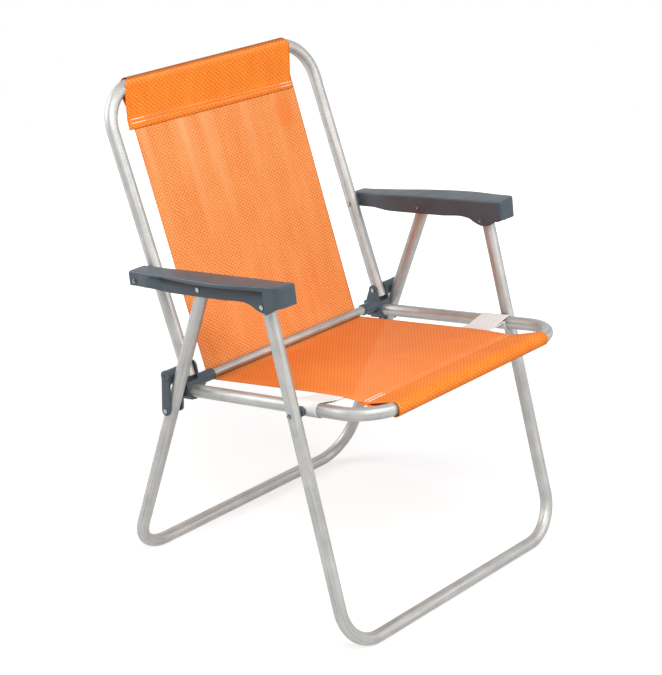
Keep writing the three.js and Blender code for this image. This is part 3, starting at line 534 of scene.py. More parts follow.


# The same nylon, with painted shade darkening the rim's underside and the skirt just under the rim.
UNDER_RIM_SHADE_TONE = "#0c0f12"
UNDER_RIM_SHADE_DEPTH = (6 * MM, 14 * MM)
arm_nylon = nylon.copy()
arm_nylon.name = "moulded_grey_nylon_under_rim_shade"
tree = arm_nylon.node_tree
surface = tree.nodes["Principled BSDF"]
unshaded_colour = surface.inputs["Base Color"].links[0].from_socket
place = add(tree, "ShaderNodeUVMap", {}, uv_map="UVMap")
spot = add(tree, "ShaderNodeSeparateXYZ", {"Vector": place.outputs["UV"]})
# Painted shade: dark at the rim's underside and the skirt's top, fading out 6 to 14 mm below the rim.
under_rim_shade = add(tree, "ShaderNodeMapRange", {
    0: spot.outputs["Y"], 1: UNDER_RIM_SHADE_DEPTH[0], 2: UNDER_RIM_SHADE_DEPTH[1], 3: 0.0, 4: 1.0})
under_rim_shaded = add(tree, "ShaderNodeMix", {
    0: under_rim_shade.outputs[0], 6: linear(UNDER_RIM_SHADE_TONE), 7: unshaded_colour}, data_type="RGBA")
set_inputs(tree, surface, {"Base Color": under_rim_shaded.outputs[2]})

for side in ("left", "right"):
    skin, skin_uv = armrest_skin(side == "left")
    arm = grid_mesh("armrest_" + side + "_moulded", skin, skin_uv, close_columns=True)
    join_shells(arm, armrest_inside(side == "left"))
    arm.data.materials.append(arm_nylon)
    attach(arm, "armrest_" + side)
    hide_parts("armrest_" + side)

# Rivets.
# Semi-tubular aluminium rivets: one end is a low closed dome, the other a thin rolled ring round
# the open mouth of the shank. Rivets whose end is buried in a moulding end flat there.
RIVET_SIDES = 40

# Shapes of the ends: radius, and height above the face that the head lies on, in millimetres.
SHANK = 2.6
DOME = np.array([
    [0, 1.2], [0.9, 1.18], [1.8, 1.1], [2.7, 0.95], [3.5, 0.74], [4.2, 0.48], [4.7, 0.22], [4.9, 0.08],
    [4.8, 0.0], [SHANK, 0.0]])
ROLLED = np.array([
    [0, -9], [1.1, -9], [2.1, -9], [2.25, -8.8], [2.25, -0.6], [2.25, 0.3], [2.35, 0.7], [2.6, 1.0],
    [3.0, 1.15], [3.4, 1.05], [3.75, 0.75], [3.95, 0.4], [4.0, 0.1], [3.9, 0.0], [SHANK, 0.0]])
FLAT = np.array([[0, 0.0], [1.3, 0.0], [SHANK, 0.0]])

# Bright rolled aluminium, smoother than the tubes, with fine turning marks from the setting tool
# and a little dulling. A dark ring of painted shade lies round the rim. The marks are drawn at 0.7 mm so
# that they show.
BRIGHT_TONES = ("#8a8b8a", "#b8b8b5")
RIVET_RIM_SHADE_TONE = "#26282b"
SET_MARK = 0.7 * MM
RIVET_RIM_SHADE = (0.76, 0.92)
bright, tree, surface = new_material("bright_rolled_aluminium")
where = add(tree, "ShaderNodeTexCoord", {})
marks = add(tree, "ShaderNodeTexNoise", {
    "Vector": where.outputs["Object"], "Scale": 1 / SET_MARK, "Detail": 3.0})
tone = add(tree, "ShaderNodeMix", {
    0: marks.outputs["Fac"], 6: linear(BRIGHT_TONES[0]), 7: linear(BRIGHT_TONES[1])}, data_type="RGBA")
dull = add(tree, "ShaderNodeMapRange", {0: marks.outputs["Fac"], 1: 0.3, 2: 0.7, 3: 0.26, 4: 0.42})
place = add(tree, "ShaderNodeUVMap", {}, uv_map="UVMap")
spot = add(tree, "ShaderNodeSeparateXYZ", {"Vector": place.outputs["UV"]})
# Painted shade: each head darkens towards its outer edge, where it meets the face it lies on.
rim = add(tree, "ShaderNodeMapRange", {
    0: spot.outputs["X"], 1: RIVET_RIM_SHADE[0], 2: RIVET_RIM_SHADE[1], 3: 0.0, 4: 1.0})
rim_shaded = add(tree, "ShaderNodeMix", {
    0: rim.outputs[0], 6: tone.outputs[2], 7: linear(RIVET_RIM_SHADE_TONE)}, data_type="RGBA")
set_inputs(tree, surface, {
    "Base Color": rim_shaded.outputs[2], "Metallic": 1.0, "Roughness": dull.outputs[0]})


def set_rivet(node, inner_end, outer_end):
    """An outline of radius and distance from the middle plane, from the axis at one end to the axis
    at the other, turned about the axis. Each end follows its own table."""
    low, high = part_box(node)
    sign = 1 if high.x + low.x > 0 else -1
    near, far = sorted((abs(low.x) / MM, abs(high.x) / MM))
    outer = np.stack((outer_end[:, 0], far - outer_end[:, 1].max() + outer_end[:, 1]), 1)
    inner = np.stack((inner_end[:, 0], near + inner_end[:, 1].max() - inner_end[:, 1]), 1)
    outline = np.concatenate((outer, inner[::-1]))
    a = np.linspace(0, 2 * np.pi, RIVET_SIDES, endpoint=False)
    y, z = pivot(node)
    radius = outline[:, 0][:, None] * MM
    ring = np.stack(np.broadcast_arrays(
        sign * outline[:, 1][:, None] * MM, y + radius * np.cos(a), z + radius * np.sin(a)), -1)
    widest = np.repeat([outer[:, 0].max(), inner[:, 0].max()], [len(outer), len(inner)])
    share = (outline[:, 0] / widest)[:, None]
    uv = np.stack(np.broadcast_arrays(share, np.append(a, 2 * np.pi)), -1)
    return grid_mesh(node + "_set", ring, uv, close_columns=True)


for side in ("left", "right"):
    for node, body, inner_end, outer_end in (
        ("rivet_arm_back_", "back", DOME, ROLLED),
        ("rivet_arm_rear_leg_", "armrest_" + side, ROLLED, DOME),
        ("rivet_arm_front_leg_", "armrest_" + side, ROLLED, DOME),
        ("rivet_leg_seat_", "seat", DOME, ROLLED),
        ("rivet_bracket_back_", "seat", DOME, FLAT),
        ("rivet_link_leg_", "rear_leg", FLAT, DOME),
    ):
        rivet = set_rivet(node + side, inner_end, outer_end)
        rivet.data.materials.append(bright)
        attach(rivet, body)
        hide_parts(node + side)

# Sling.
# One sheet of woven vinyl-coated polyester mesh, 390 mm wide. A sleeve sewn at each end slides over
# the top bar and the seat's front bar, and between them it passes behind and under the cross bar.
SLING_WIDTH = 390 * MM
SLING_THICK = 0.9 * MM
SLEEVE_RADIUS = TUBE_RADIUS + 0.7 * MM
BAR_TURN_RADIUS = CROSS_BAR_RADIUS + 1.0 * MM
LAYER = 1.2 * MM
TOP_SEAM = 57 * MM
TOP_HEM = 77.5 * MM
HEM_SLANT = 2.5 * MM
FRONT_SEAM = 62 * MM
FRONT_HEM = 80 * MM
STRAP_REAR = 174 * MM
STRAP_FRONT = 116 * MM
STRAP_LIFT = 4.8 * MM
STRAP_CREST = 5.0 * MM
STRAP_FALL = 4.2 * MM
ROW_STEP = 5 * MM
SLEEVE_STEPS = 28
BAR_TURN_STEPS = 16
SLING_COLUMNS = 97


def arc(centre, radius, start, end, steps):
    """Points on a circle in the side profile between two angles."""
    a = np.linspace(start, end, steps)[:, None]
    return centre + radius * np.concatenate((np.cos(a), np.sin(a)), 1)


def round_bar(bar, radius, before, after, turn, steps):
    """Points on a circle round a bar, from where the line from the point before touches it to where
    the line to the point after leaves it. In the side profile, turn 1 goes from y towards z, -1 back."""
    ways = np.stack((before, after)) - bar
    heading = np.arctan2(ways[:, 1], ways[:, 0])
    opening = np.arccos(radius / np.linalg.norm(ways, axis=1))
    start, end = heading + turn * opening * [1, -1]
    return arc(bar, radius, start, start + turn * (turn * (end - start) % (2 * np.pi)), steps)


def on_back(down, behind):
    """Point a distance down from the top bar and behind its plane."""
    return top_bar - down * back_up + behind * back_rear


def on_seat(back, up):
    """Point a distance back from the seat's front bar and above its plane."""
    return seat_bar + back * seat_back_way + up * seat_up


def even_steps(points, step):
    """Distances along a line of straight pieces, about a step apart, its own corners among them."""
    run = np.concatenate(([0], np.cumsum(np.linalg.norm(np.diff(points, axis=0), axis=1))))
    at = np.union1d(np.linspace(0, run[-1], int(np.ceil(run[-1] / step)) + 1), run)
    return run, at[np.concatenate(([True], np.diff(at) > MERGE_DISTANCE))]


flap_end = on_back(TOP_SEAM, -LAYER / 2)
panel_top = on_back(TOP_SEAM, LAYER / 2)
panel_front = on_seat(FRONT_SEAM, LAYER / 2)
fold_under = on_seat(FRONT_SEAM, -LAYER / 2)
over_strap = on_seat(STRAP_REAR, STRAP_LIFT)
# Each stretch of the sheet from hem to hem: its points in the side profile, then where its left and
# its right edge lie across, in millimetres, spread evenly over it.
stretches = (
    (np.stack((on_back(TOP_HEM, -LAYER / 2), flap_end)), (-213.5, -212), (182, 186)),
    (round_bar(top_bar, SLEEVE_RADIUS, flap_end, panel_top, -1, SLEEVE_STEPS),
     (-205, -191, -193, -201), (196.5, 189.5, 189, 190)),
    (np.stack((panel_top, (panel_top + cross_bar + BAR_TURN_RADIUS * back_rear) / 2)),
     (-201.5, -200.5), (188.5, 187)),
    (round_bar(cross_bar, BAR_TURN_RADIUS, panel_top, over_strap, -1, BAR_TURN_STEPS),
     (-199, -198), (186, 185.5)),
    (np.stack((over_strap, on_seat((STRAP_FRONT + STRAP_REAR) / 2, STRAP_CREST),
               on_seat(STRAP_FRONT, STRAP_FALL), panel_front)),
     (-192, -192, -193, -197), (182.5, 182.5, 183, 184.5)),
    (round_bar(seat_bar, SLEEVE_RADIUS, panel_front, fold_under, 1, SLEEVE_STEPS),
     (-201, -205, -204), (185, 186.5, 186)),
    (np.stack((fold_under, on_seat(FRONT_HEM, -LAYER / 2))), (-201, -200), (185, 184)))
corners = np.concatenate([points for points, left, right in stretches])
left_edge, right_edge = (np.concatenate([
    np.interp(np.linspace(0, 1, len(row[0])), np.linspace(0, 1, len(row[k])), row[k]) for row in stretches])
    for k in (1, 2))
corner_run, run = even_steps(corners, ROW_STEP)
profile = np.stack([np.interp(run, corner_run, corners[:, k]) for k in (0, 1)], 1)
edges = np.stack([np.interp(run, corner_run, edge) for edge in (left_edge, right_edge)], 1) * MM
sling_length = run[-1]


def run_at(point):
    """Distance along the sheet of its row nearest to a point of the side profile."""
    return float(run[np.argmin(np.linalg.norm(profile - point, axis=1))])


across = np.linspace(0, 1, SLING_COLUMNS)
hem_shift = np.clip(1 - run / run_at(flap_end), 0, 1)[:, None] * HEM_SLANT * (2 * across - 1)
sling_points = np.stack(np.broadcast_arrays(
    edges[:, :1] + (edges[:, 1:] - edges[:, :1]) * across,
    profile[:, :1] - hem_shift * back_up[0],
    profile[:, 1:] - hem_shift * back_up[1]), -1)
sling_uv = np.stack(np.broadcast_arrays(SLING_WIDTH * (across - 0.5), run[:, None]), -1)
sling = grid_mesh("sling_mesh", sling_points, sling_uv)
cloth = sling.modifiers.new("cloth_thickness", "SOLIDIFY")
cloth.thickness = SLING_THICK
cloth.offset = 0

# Woven vinyl-coated polyester, orange: flat shiny yarns in a plain weave with small open holes. The
# light that comes through is painted: one layer is painted paler for the white behind it, two layers
# deeper, and the seat between. The floats of the yarns lie like bricks. They are drawn 8.8 by 3.7 mm
# so that they show, uneven as coated yarn is, with soft streaks along the warp and rubbed patches.
# Pale painted highlights lie on creases that hang from the top hem, a painted dark shade line runs
# where the cloth is folded hard over the top bar, and a painted highlight marks one slanting crease
# across the seat. The hem's tucked end shows through below the stitches on one side as a darker
# patch of painted shade.
YARN_ACROSS = 8.8 * MM
YARN_ALONG = 3.7 * MM
UNEVEN_YARN = (5.5 * MM, 2.6 * MM)
WARP_STREAK = (22 * MM, 160 * MM)
RUBBED_PATCH = 70 * MM
HANGING_CREASE = (38 * MM, 900 * MM)
CREASE_REACH = 250 * MM
# Painted dark shade line where the cloth folds over the top bar: before the crest, after it, and where
# its edge has faded. The painted sheen before it starts, peaks and ends.
FOLD_SHADE_LINE = (3 * MM, 9 * MM, 12 * MM)
SHEEN_LINE = (15 * MM, 11 * MM, 7 * MM)
# Painted highlight of the seat crease: where it starts, peaks and has faded, along the sheet from
# the top hem at its middle.
SEAT_CREASE_SLOPE = 0.647
SEAT_CREASE = (825 * MM, 833 * MM, 980 * MM)
TUCK = (152 * MM, 232 * MM)
TUCK_SIZE = (24 * MM, 36 * MM)
SEAM_BLUR = 2 * MM
SLEEVE_BLUR = 4 * MM
SEAT_SHADE = (260 * MM, 200 * MM)
# Low and high tones of the sheet: the light through it and the shade on it are painted into them.
TWO_LAYERS = ("#e26812", "#ff9836")
SHEEN = ("#ee8238", "#ffab5c")
FOLD_SHADE_TONES = ("#8a4618", "#a85c28")
ONE_LAYER = ("#db7630", "#ffa664")
SEAT_REAR = ("#e07028", "#f78c42")
SEAT_FRONT = ("#e87830", "#fc944a")
FRONT_SLEEVE = ("#e8701c", "#ff9838")
HANGING_CREASE_HIGHLIGHT_TONE = "#ffbe86"
SEAT_CREASE_HIGHLIGHT_TONE = "#ffb27c"
TUCK_SHADE_TONE = "#ee7a2a"
crest_run = run[np.argmax(profile[:, 1])]
panel_run = run_at(panel_top)
seat_run = run_at(over_strap)
sleeve_run = run_at(panel_front)
# Painted light and shade along the sheet: paler for one layer, deeper for two and the seat, and a sheen and
# a dark shade line at the top bar.
cloth_tones = (
    (0, TWO_LAYERS), (crest_run - SHEEN_LINE[0], TWO_LAYERS), (crest_run - SHEEN_LINE[1], SHEEN),
    (crest_run - SHEEN_LINE[2], TWO_LAYERS), (crest_run - FOLD_SHADE_LINE[0], FOLD_SHADE_TONES),
    (crest_run + FOLD_SHADE_LINE[1], FOLD_SHADE_TONES), (crest_run + FOLD_SHADE_LINE[2], TWO_LAYERS),
    (panel_run - SEAM_BLUR, TWO_LAYERS), (panel_run + SEAM_BLUR, ONE_LAYER),
    (seat_run - SEAT_SHADE[0], ONE_LAYER), (seat_run - SEAT_SHADE[1], SEAT_REAR),
    (sleeve_run - SLEEVE_BLUR, SEAT_FRONT), (sleeve_run + SLEEVE_BLUR, FRONT_SLEEVE),
    (sling_length, FRONT_SLEEVE))
mesh_cloth, tree, surface = new_material("woven_vinyl_mesh_orange")
place = add(tree, "ShaderNodeUVMap", {}, uv_map="UVMap")
turn = add(tree, "ShaderNodeMapping", {
    "Vector": place.outputs["UV"], "Scale": (np.pi / YARN_ACROSS, 1 / YARN_ALONG, 1)})
part = add(tree, "ShaderNodeSeparateXYZ", {"Vector": turn.outputs["Vector"]})
row = add(tree, "ShaderNodeMath", {0: part.outputs["Y"]}, operation="FLOOR")
step = add(tree, "ShaderNodeMath", {
    0: row.outputs[0], 1: np.pi / 2, 2: part.outputs["X"]}, operation="MULTIPLY_ADD")
ends = add(tree, "ShaderNodeMath", {0: step.outputs[0]}, operation="SINE")
rise = add(tree, "ShaderNodeMath", {0: part.outputs["Y"], 1: np.pi}, operation="MULTIPLY")
sides = add(tree, "ShaderNodeMath", {0: rise.outputs[0]}, operation="SINE")
both = add(tree, "ShaderNodeMath", {0: ends.outputs[0], 1: sides.outputs[0]}, operation="MULTIPLY")
brick = add(tree, "ShaderNodeMath", {0: both.outputs[0]}, operation="ABSOLUTE")
over = add(tree, "ShaderNodeMapRange", {0: brick.outputs[0], 1: 0.05, 2: 0.75, 3: 0.0, 4: 1.0})
uneven = stretched_noise(tree, UNEVEN_YARN, 1.0)
streaks = stretched_noise(tree, WARP_STREAK, 3.0)
patches = add(tree, "ShaderNodeTexNoise", {
    "Vector": place.outputs["UV"], "Scale": 1 / RUBBED_PATCH, "Detail": 4.0})
wear = add(tree, "ShaderNodeMath", {0: streaks, 1: patches.outputs["Fac"]}, operation="ADD")
speckle = add(tree, "ShaderNodeMath", {0: uneven, 1: 0.8, 2: -0.4}, operation="MULTIPLY_ADD")
mottle = add(tree, "ShaderNodeMath", {0: wear.outputs[0], 1: 0.55, 2: -0.55}, operation="MULTIPLY_ADD")
yarns = add(tree, "ShaderNodeMath", {0: over.outputs[0], 1: speckle.outputs[0]}, operation="ADD")
blend = add(tree, "ShaderNodeMath", {
    0: yarns.outputs[0], 1: mottle.outputs[0]}, operation="ADD", use_clamp=True)
spot = add(tree, "ShaderNodeSeparateXYZ", {"Vector": place.outputs["UV"]})
share = add(tree, "ShaderNodeMath", {0: spot.outputs["Y"], 1: float(sling_length)}, operation="DIVIDE")
shades = []
for shade in (0, 1):
    ramp = add(tree, "ShaderNodeValToRGB", {"Fac": share.outputs[0]})
    stops = ramp.color_ramp.elements
    while len(stops) < len(cloth_tones):
        stops.new(0.5)
    for stop, (distance, tones) in zip(stops, cloth_tones):
        stop.position = distance / sling_length
        stop.color = linear(tones[shade])
    shades.append(ramp.outputs["Color"])
tone = add(tree, "ShaderNodeMix", {0: blend.outputs[0], 6: shades[0], 7: shades[1]}, data_type="RGBA")
# Painted highlights along the creases that hang from the top hem, fading out further down.
pulls = stretched_noise(tree, HANGING_CREASE, 1.0)
crease = add(tree, "ShaderNodeMapRange", {0: pulls, 1: 0.5, 2: 0.75, 3: 0.0, 4: 0.6})
fall = add(tree, "ShaderNodeMapRange", {
    0: spot.outputs["Y"], 1: panel_run, 2: panel_run + CREASE_REACH, 3: 1.0, 4: 0.0})
single = add(tree, "ShaderNodeMath", {
    0: spot.outputs["Y"], 1: panel_run}, operation="GREATER_THAN")
hung = add(tree, "ShaderNodeMath", {0: crease.outputs[0], 1: fall.outputs[0]}, operation="MULTIPLY")
crease_highlight = add(tree, "ShaderNodeMath", {0: hung.outputs[0], 1: single.outputs[0]}, operation="MULTIPLY")
crease_highlighted = add(tree, "ShaderNodeMix", {
    0: crease_highlight.outputs[0], 6: tone.outputs[2], 7: linear(HANGING_CREASE_HIGHLIGHT_TONE)}, data_type="RGBA")
# Painted highlight along one slanting crease across the seat.
slant = add(tree, "ShaderNodeMath", {
    0: spot.outputs["X"], 1: SEAT_CREASE_SLOPE, 2: spot.outputs["Y"]}, operation="MULTIPLY_ADD")
edge = add(tree, "ShaderNodeMapRange", {
    0: slant.outputs[0], 1: SEAT_CREASE[0], 2: SEAT_CREASE[1], 3: 0.0, 4: 0.17})
fade = add(tree, "ShaderNodeMapRange", {
    0: slant.outputs[0], 1: SEAT_CREASE[1], 2: SEAT_CREASE[2], 3: 1.0, 4: 0.0})
before_sleeve = add(tree, "ShaderNodeMath", {
    0: spot.outputs["Y"], 1: sleeve_run}, operation="LESS_THAN")
turned = add(tree, "ShaderNodeMath", {0: edge.outputs[0], 1: fade.outputs[0]}, operation="MULTIPLY")
seat_crease_highlight = add(tree, "ShaderNodeMath", {
    0: turned.outputs[0], 1: before_sleeve.outputs[0]}, operation="MULTIPLY")
seat_crease_highlighted = add(tree, "ShaderNodeMix", {
    0: seat_crease_highlight.outputs[0], 6: crease_highlighted.outputs[2], 7: linear(SEAT_CREASE_HIGHLIGHT_TONE)}, data_type="RGBA")
# Painted shade: a darker patch where the end of the hem, turned in behind the cloth, shows through.
around = add(tree, "ShaderNodeMapping", {
    "Vector": place.outputs["UV"], "Scale": (1 / TUCK_SIZE[0], 1 / TUCK_SIZE[1], 1),
    "Location": (-TUCK[0] / TUCK_SIZE[0], -TUCK[1] / TUCK_SIZE[1], 0)})
away = add(tree, "ShaderNodeVectorMath", {0: around.outputs["Vector"]}, operation="LENGTH")
tuck = add(tree, "ShaderNodeMapRange", {0: away.outputs["Value"], 1: 0.6, 2: 1.1, 3: 0.45, 4: 0.0})
tuck_shaded = add(tree, "ShaderNodeMix", {
    0: tuck.outputs[0], 6: seat_crease_highlighted.outputs[2], 7: linear(TUCK_SHADE_TONE)}, data_type="RGBA")
relief = add(tree, "ShaderNodeBump", {
    "Height": yarns.outputs[0], "Strength": 0.3, "Distance": 0.3 * MM})
set_inputs(tree, surface, {
    "Base Color": tuck_shaded.outputs[2], "Roughness": 0.6, "IOR": 1.5, "Specular IOR Level": 0.2,
    "Normal": relief.outputs["Normal"]})
sling.data.materials.append(mesh_cloth)

# Seam threads.
# Two rows of lockstitch close each sleeve: thick polyester thread, white where it is sewn back and
# forth at the ends and orange between. It is drawn 1.3 mm thick with 6 mm stitches so that it shows.
THREAD_RADIUS = 0.65 * MM
STITCH = 6 * MM
STITCH_RISE = 0.45 * MM
THREAD_SIDES = 8
STITCH_STEPS = 8
TWIST = 1.6 * MM
PLY_ANGLE = 0.7
# Ends of the rows across, in millimetres, and where white thread gives way to orange and comes back.
TOP_ENDS = (-207, 184)
TOP_TACKS = (-175, 154)
FRONT_ENDS = (-192, 181)
FRONT_TACKS = (-150, 400)
# Rows of the top seam: distance below the top bar at the left and at the right end, in millimetres.
TOP_ROWS = (("upper", 58.5, 69), ("lower", 65, 74.5))
# Rows of the front seam: distance behind the front bar, and rise of the cloth there, in millimetres.
FRONT_ROWS = (("front", 65, 0.3), ("rear", 72, 0.8))
threads = {}
for name, low_tone, high_tone in (("white_sewing_thread", "#e6e0da", "#fbf8f4"),
                                  ("orange_sewing_thread", "#f09550", "#ffb680")):
    threads[name], tree, surface = new_material(name)
    place = add(tree, "ShaderNodeUVMap", {}, uv_map="UVMap")
    slant = add(tree, "ShaderNodeMapping", {
        "Vector": place.outputs["UV"], "Scale": (1 / TWIST, 1 / TWIST, 1), "Rotation": (0, 0, PLY_ANGLE)})
    plies = add(tree, "ShaderNodeTexWave", {"Vector": slant.outputs["Vector"], "Scale": 0.5})
    tone = add(tree, "ShaderNodeMix", {
        0: plies.outputs["Fac"], 6: linear(low_tone), 7: linear(high_tone)}, data_type="RGBA")
    relief = add(tree, "ShaderNodeBump", {
        "Height": plies.outputs["Fac"], "Strength": 0.4, "Distance": 0.2 * MM})
    set_inputs(tree, surface, {
        "Base Color": tone.outputs[2], "Roughness": 0.6, "Normal": relief.outputs["Normal"]})


def seam_thread(name, body, start, end, outward, tacks):
    """A thread along a straight seam that rises and dips through the cloth: centre = seam point +
    rise (1 + cos(2 pi distance / stitch)) outward, with a ring round it. White past the tacks."""
    length = np.linalg.norm(end - start)
    steps = int(round(length / STITCH)) * STITCH_STEPS + 1
    t = np.linspace(0, 1, steps)
    wave = STITCH_RISE * np.cos(2 * np.pi * np.arange(steps) / STITCH_STEPS)
    centre = start + (end - start) * t[:, None] + (wave[:, None] + STITCH_RISE) * outward
    sideways = np.cross(unit(end - start), outward)
    a = np.linspace(0, 2 * np.pi, THREAD_SIDES, endpoint=False)
    ring = np.cos(a)[:, None] * outward + np.sin(a)[:, None] * sideways
    size = np.where((t == 0) | (t == 1), 0, THREAD_RADIUS)
    points = centre[:, None, :] + size[:, None, None] * ring
    around = np.linspace(0, 2 * np.pi * THREAD_RADIUS, THREAD_SIDES + 1)
    uv = np.stack(np.broadcast_arrays(around, (length * t)[:, None]), -1)
    thread = grid_mesh(name, points, uv, close_columns=True)
    thread.data.materials.append(threads["orange_sewing_thread"])
    thread.data.materials.append(threads["white_sewing_thread"])
    middle = np.empty(len(thread.data.polygons) * 3)
    thread.data.polygons.foreach_get("center", middle)
    at = middle[::3]
    thread.data.polygons.foreach_set(
        "material_index", ((at < tacks[0] * MM) | (at > tacks[1] * MM)).astype(np.int32))
    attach(thread, body)
    return thread


def in_space(x, side_point):
    """A side-profile point with its distance across in millimetres."""
    return np.array([x * MM, *side_point])


face = LAYER / 2 + SLING_THICK / 2
forward = np.array([0, *-back_rear])
upward = np.array([0, *seat_up])
seam_pieces = [
    seam_thread(
        "top_seam_" + row, "back", in_space(TOP_ENDS[0], on_back(left_down * MM, -face)),
        in_space(TOP_ENDS[1], on_back(right_down * MM, -face)), forward, TOP_TACKS)
    for row, left_down, right_down in TOP_ROWS]
seam_pieces += [
    seam_thread(
        "front_seam_" + row, "seat", in_space(FRONT_ENDS[0], on_seat(back * MM, lift * MM + face)),
        in_space(FRONT_ENDS[1], on_seat(back * MM, lift * MM + face)), upward, FRONT_TACKS)
    for row, back, lift in FRONT_ROWS]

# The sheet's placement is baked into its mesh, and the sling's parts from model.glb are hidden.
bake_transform(sling)
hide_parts("sling_back", "sling_seat")

# Seat strap.
# A flat band of white polyester webbing, 58 mm wide, that runs under the sling and loops round
# both seat tubes at the leg rivets, where it is sewn back on itself.
STRAP_WIDTH = 58 * MM
STRAP_THICK = 1.1 * MM
STRAP_LAP = 40 * MM
STRAP_LEVEL_X = 205 * MM
STRAP_LEVEL = 3.6 * MM
LOOP_RADIUS = TUBE_RADIUS + 1.2 * MM
LOOP_TURN = 1.18 * np.pi
LOOP_STEPS = 60
LAP_START = (8 * MM, 1.3 * MM)
LAP_DROP = 1.5 * MM
STRAP_COLUMNS = 33
strap_back = (STRAP_FRONT + STRAP_REAR) / 2
lift = np.arctan2(LOOP_RADIUS - STRAP_LEVEL, SEAT_X - STRAP_LEVEL_X)
loop = arc(np.array([SEAT_X, 0]), LOOP_RADIUS, np.pi / 2 + lift, lift - LOOP_TURN, LOOP_STEPS)
sewn = np.array([
    [STRAP_LEVEL_X + LAP_START[0], STRAP_LEVEL - LAP_START[1]],
    [STRAP_LEVEL_X - STRAP_LAP, STRAP_LEVEL - LAP_DROP]])
right_half = np.concatenate(([[0, STRAP_LEVEL], [STRAP_LEVEL_X, STRAP_LEVEL]], loop, sewn))
strap_line = np.concatenate((right_half[:0:-1] * [-1, 1], right_half))
line_run, strap_run = even_steps(strap_line, ROW_STEP)
strap_path = np.stack([np.interp(strap_run, line_run, strap_line[:, k]) for k in (0, 1)], 1)
strap_across = np.linspace(-0.5, 0.5, STRAP_COLUMNS) * STRAP_WIDTH
strap_profile = (seat_bar + (strap_back + strap_across[None, :, None]) * seat_back_way
                 + strap_path[:, 1][:, None, None] * seat_up)
strap_points = np.concatenate((
    np.broadcast_to(strap_path[:, 0][:, None, None], (*strap_profile.shape[:2], 1)), strap_profile), -1)
strap_uv = np.stack(np.broadcast_arrays(strap_across[None, :], strap_run[:, None]), -1)
strap = grid_mesh("seat_strap_woven", strap_points, strap_uv)
cloth = strap.modifiers.new("band_thickness", "SOLIDIFY")
cloth.thickness = STRAP_THICK
cloth.offset = 0

# Woven polyester webbing, white: a close herringbone with bound edges. The ribs are drawn at
# 2 mm so that they show.
WEBBING_TONES = ("#e6e2df", "#f5f2ef")
RIB = 2 * MM
webbing, tree, surface = new_material("woven_white_webbing")
place = add(tree, "ShaderNodeUVMap", {}, uv_map="UVMap")
turn = add(tree, "ShaderNodeMapping", {
    "Vector": place.outputs["UV"], "Scale": (2 * np.pi / RIB, 2 * np.pi / RIB, 1)})
part = add(tree, "ShaderNodeSeparateXYZ", {"Vector": turn.outputs["Vector"]})
zig = add(tree, "ShaderNodeMath", {0: part.outputs["X"], 1: 8.0}, operation="PINGPONG")
slant = add(tree, "ShaderNodeMath", {0: zig.outputs[0], 1: part.outputs["Y"]}, operation="ADD")
ribs = add(tree, "ShaderNodeMath", {0: slant.outputs[0]}, operation="SINE")
tone = add(tree, "ShaderNodeMapRange", {0: ribs.outputs[0], 1: -1.0, 2: 1.0, 3: 0.0, 4: 1.0})
white = add(tree, "ShaderNodeMix", {
    0: tone.outputs[0], 6: linear(WEBBING_TONES[0]), 7: linear(WEBBING_TONES[1])}, data_type="RGBA")
relief = add(tree, "ShaderNodeBump", {
    "Height": ribs.outputs[0], "Strength": 0.3, "Distance": 0.2 * MM})
set_inputs(tree, surface, {
    "Base Color": white.outputs[2], "Roughness": 0.8, "Normal": relief.outputs["Normal"]})
strap.data.materials.append(webbing)
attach(strap, "seat")
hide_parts("seat_strap")

# Studio.
# A plain white floor that fades into a white room, and three large soft lamps. The camera stands in
# front of the chair's right hand, a little above it.
FLOOR_REACH = 2.4
FLOOR_FADE = (0.7, 1.7)
FLOOR_GLOW = 0.66
PAPER_TONE = "#b4b4b4"
ROOM_LIGHT = 0.3
LAMP_AIM = Vector((0, 0, 0.45))


def seen_by_eye(tree):
    """1 for rays that show the background, straight, in a mirror or through glass, and 0 for the
    rays that light the object."""
    rays = add(tree, "ShaderNodeLightPath", {})
    seen = add(tree, "ShaderNodeMath", {
        0: rays.outputs["Is Camera Ray"], 1: rays.outputs["Is Glossy Ray"]}, operation="ADD")
    return add(tree, "ShaderNodeMath", {
        0: seen.outputs[0], 1: rays.outputs["Is Transmission Ray"]}, operation="ADD", use_clamp=True)


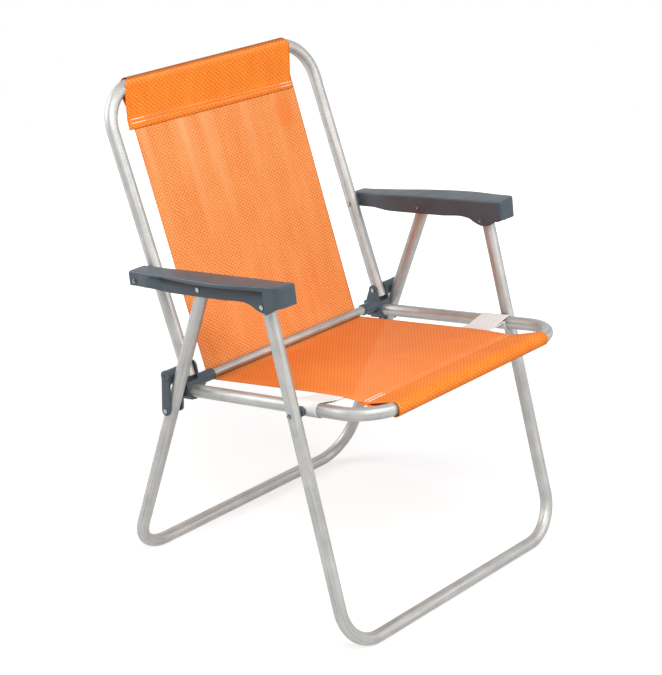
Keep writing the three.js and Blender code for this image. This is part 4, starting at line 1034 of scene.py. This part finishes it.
floor_mesh = bpy.data.meshes.new("studio_floor")
floor_mesh.from_pydata(
    [(-FLOOR_REACH, -FLOOR_REACH, 0), (FLOOR_REACH, -FLOOR_REACH, 0),
     (FLOOR_REACH, FLOOR_REACH, 0), (-FLOOR_REACH, FLOOR_REACH, 0)], [], [(0, 1, 2, 3)])
studio_floor = bpy.data.objects.new("studio_floor", floor_mesh)
scene.collection.objects.link(studio_floor)
paper, tree, surface = new_material("white_backdrop_paper")
seen = seen_by_eye(tree)
where = add(tree, "ShaderNodeTexCoord", {})
away = add(tree, "ShaderNodeVectorMath", {0: where.outputs["Object"]}, operation="LENGTH")
fade = add(tree, "ShaderNodeMapRange", {
    0: away.outputs["Value"], 1: FLOOR_FADE[0], 2: FLOOR_FADE[1], 3: FLOOR_GLOW, 4: 1.0},
    interpolation_type="SMOOTHSTEP")
glow = add(tree, "ShaderNodeMath", {0: seen.outputs[0], 1: fade.outputs[0]}, operation="MULTIPLY")
set_inputs(tree, surface, {
    "Base Color": linear(PAPER_TONE), "Roughness": 0.9, "Specular IOR Level": 0.1,
    "Emission Color": (1, 1, 1, 1), "Emission Strength": glow.outputs[0]})
floor_mesh.materials.append(paper)

room = bpy.data.worlds.new("pale_room")
room.use_nodes = True
tree = room.node_tree
seen = seen_by_eye(tree)
level = add(tree, "ShaderNodeMapRange", {0: seen.outputs[0], 1: 0.0, 2: 1.0, 3: ROOM_LIGHT, 4: 1.0})
set_inputs(tree, tree.nodes["Background"], {"Color": (1, 1, 1, 1), "Strength": level.outputs[0]})
scene.world = room

for name, spot, size, watts in (
    ("key_softbox", (-1.5, -1.5, 3.0), 1.6, 80.0),
    ("front_softbox", (1.0, -2.9, 1.9), 1.8, 36.0),
    ("rear_softbox", (-1.5, 2.6, 1.9), 1.8, 62.0),
):
    lamp = bpy.data.lights.new(name, "AREA")
    lamp.size = size
    lamp.energy = watts
    softbox = bpy.data.objects.new(name, lamp)
    softbox.location = spot
    softbox.rotation_euler = (LAMP_AIM - Vector(spot)).to_track_quat("-Z", "Y").to_euler()
    scene.collection.objects.link(softbox)

EYE = np.array([-2.237925, -1.986336, 1.639965])
YAW = -0.8417624
PITCH = 0.3930385
FOCAL_PIXELS = 1869.593
LONG_SIDE = 675
SENSOR = 36.0
lens = bpy.data.cameras.new("photo_camera")
lens.sensor_fit = "AUTO"
lens.sensor_width = SENSOR
lens.lens = FOCAL_PIXELS * SENSOR / LONG_SIDE
camera = bpy.data.objects.new("photo_camera", lens)
camera.location = EYE
look = -Vector((np.sin(YAW) * np.cos(PITCH), -np.cos(YAW) * np.cos(PITCH), np.sin(PITCH)))
camera.rotation_euler = look.to_track_quat("-Z", "Y").to_euler()
scene.collection.objects.link(camera)
scene.camera = camera
scene.view_settings.view_transform = "Standard"
